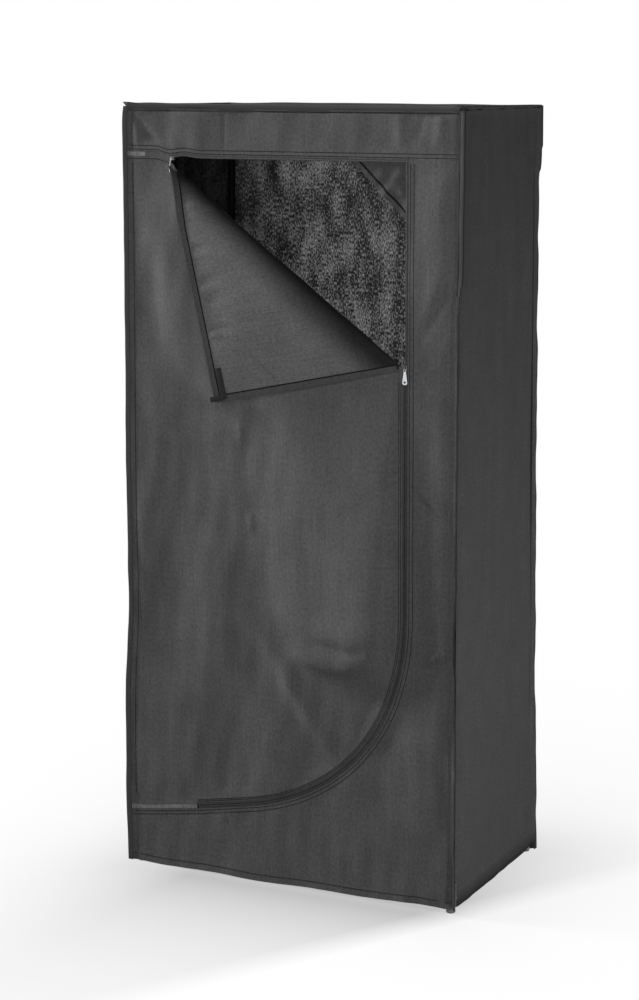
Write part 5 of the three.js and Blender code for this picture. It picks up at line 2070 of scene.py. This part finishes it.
@dataclass
class Studio:
    """Camera at the photograph's view, soft lamps, pale floor and white background."""

    camera_at: tuple = (2.1040, -4.3353, 1.6753)
    pitch: float = math.pi / 2 - 0.093
    turn: float = 0.4556
    lens: float = 83.87
    shift: float = -0.2145
    sky: float = 0.05
    floor_seen: float = 0.9
    floor_bounce: float = 0.2
    floor_near: float = 0.94
    contact: float = 0.1  # painted shadow: how much darker the floor is round the hem
    contact_reach: float = 0.14
    dusk: float = 0.4  # painted shadow: how much darker it is besides at the front hem
    dusk_reach: float = 0.42
    lamps: tuple = (  # name, place, aim, size and power
        ("key", (-5.6, -0.95, 3.6), (0.0, -0.2, 1.0), 1.3, 800.0),
        ("front_fill", (0.55, -2.1, 1.5), (0.0, 0.0, 1.1), 1.0, 23.0),
        ("side_fill", (2.0, -0.15, 0.15), (0.375, 0.0, 0.35), 1.0, 23.0))

    def camera(self) -> None:
        """Places the camera."""
        data = bpy.data.cameras.new("camera")
        data.sensor_fit = "VERTICAL"
        data.sensor_height = 36.0
        data.lens = self.lens
        data.shift_y = self.shift
        made = linked("camera", data)
        made.location = self.camera_at
        made.rotation_euler = (self.pitch, 0.0, self.turn)
        bpy.context.scene.camera = made

    def lamp(self, name: str, at: tuple, aim: tuple, size: float, power: float) -> None:
        """Places a square soft lamp.

        Args:
            name: name of the lamp.
            at, aim: its place, and the place that it looks at.
            size: its side in metres.
            power: in watts.
        """
        data = bpy.data.lights.new(name, "AREA")
        data.shape = "SQUARE"
        data.size = size
        data.energy = power
        made = linked(name, data)
        made.location = at
        made.rotation_euler = (Vector(aim) - Vector(at)).to_track_quat("-Z", "Y").to_euler()

    def world(self) -> None:
        """White where the camera, metal and glass see it, dimmer as a light."""
        made = bpy.data.worlds.new("studio")
        made.use_nodes = True
        bpy.context.scene.world = made
        made.node_tree.nodes.clear()
        tree = Tree(made.node_tree)
        light = tree.add("ShaderNodeBackground", Color=(*grey(1.0), 1.0),
                         Strength=tree.ramp(tree.seen(), 0.0, 1.0, self.sky, 1.0))
        tree.add("ShaderNodeOutputWorld", Surface=light.outputs[0])

    def floor(self) -> None:
        """A pale floor that keeps a little of the object's real shadow, has painted shadow round
        the hem and turns to plain white further off.
        """
        mesh = bpy.data.meshes.new("floor")
        mesh.from_pydata([(-9, -9, 0), (9, -9, 0), (9, 9, 0), (-9, 9, 0)], [], [(0, 1, 2, 3)])
        made = linked("floor", mesh)
        finish, tree, shader = plain_material("pale_floor")
        place = tree.add("ShaderNodeTexCoord").outputs["Object"]
        seen = tree.seen()
        tone = tree.ramp(tree.noise(place, 3.0), 0.3, 0.7, 0.985, 1.0)
        light = tree.ramp(seen, 0.0, 1.0, self.floor_bounce, self.floor_seen)
        tree.fill(shader, Base_Color=tree.grey(grey(1.0), tree.math("MULTIPLY", tone, light)),
                  Roughness=0.9, Specular_IOR_Level=0.1)
        length = tree.add("ShaderNodeVectorMath", operation="LENGTH",
                          Vector=tree.stretched(place, (1.0, 1.25, 1.0)))
        far = tree.ramp(length.outputs["Value"], 0.55, 1.15, self.floor_near, 1.0)
        white = tree.add("ShaderNodeEmission", Color=(*grey(1.0), 1.0),
                         Strength=self.front_shade(tree, place))
        mix = tree.add("ShaderNodeMixShader")
        sources = (tree.math("MULTIPLY", far, seen), shader.outputs[0], white.outputs[0])
        for source, socket in zip(sources, mix.inputs):
            tree.tree.links.new(source, socket)
        sink = next(node for node in tree.tree.nodes
                    if node.bl_idname == "ShaderNodeOutputMaterial")
        tree.fill(sink, Surface=mix.outputs[0])
        mesh.materials.append(finish)

    def front_shade(self, tree: Tree, place: Socket) -> Socket:
        """Painted shadow: 1 less a thin dusk round the hem and a wide one in front, share exp(-d /
        reach) each.

        d is the distance from the hem. In the wide one distances in x count 2.4 times, so that
        it ends at the corners, and it stops at a line that runs from the front right corner to
        the front left.

        Args:
            tree: the floor's tree.
            place: place on the floor.

        Returns:
            The floor's tone.
        """
        x, y = tree.parts(place)
        near = self.fade(tree, self.beyond(tree, x, 0.37), self.beyond(tree, y, 0.22),
                         self.contact, self.contact_reach)
        wide = tree.math("MULTIPLY", self.beyond(tree, tree.math("ADD", x, -0.06), 0.28), 2.4)
        front = self.fade(tree, wide, tree.math("ADD", y, 0.215), self.dusk, self.dusk_reach)
        slant = tree.math("ADD", tree.math("MULTIPLY", y, 0.577), 0.519)
        inside = tree.ramp(tree.math("SUBTRACT", slant, x), 0.0, 0.1, 0.0, 1.0)
        front = tree.math("MULTIPLY", front, inside)
        return tree.math("SUBTRACT", 1.0, tree.math("ADD", near, front))

    def beyond(self, tree: Tree, value: Socket, half: float) -> Socket:
        """How far a coordinate lies beyond plus or minus half."""
        return tree.math("MAXIMUM", tree.math("SUBTRACT", tree.math("ABSOLUTE", value), half), 0.0)

    def fade(self, tree: Tree, a: Socket, b: Socket, share: float, reach: float) -> Socket:
        """Share times exp(-sqrt(a^2 + b^2) / reach).

        Args:
            tree: the floor's tree.
            a, b: distances along x and y.
            share, reach: size at no distance, and the distance over which it fades.

        Returns:
            The result.
        """
        squares = tree.math("ADD", tree.math("MULTIPLY", a, a), tree.math("MULTIPLY", b, b))
        far = tree.math("MULTIPLY", tree.math("SQRT", squares), -1.0 / reach)
        return tree.math("MULTIPLY", tree.math("EXPONENT", far), share)

    def build(self) -> None:
        """Sets up the view, the floor and the lamps."""
        bpy.context.scene.view_settings.view_transform = "Standard"
        self.camera()
        self.world()
        self.floor()
        for lamp in self.lamps:
            self.lamp(*lamp)


def main() -> None:
    """Builds the wardrobe part by part."""
    logging.basicConfig(level=logging.INFO, format="%(name)s: %(message)s")
    for part in (Studio, SteelFrame, WidePanels, FrontCover, Seams, Flap, Gusset, ZipTapes,
                 ZipMetal, Stitching):
        part().build()


if __name__ == "__main__":
    main()
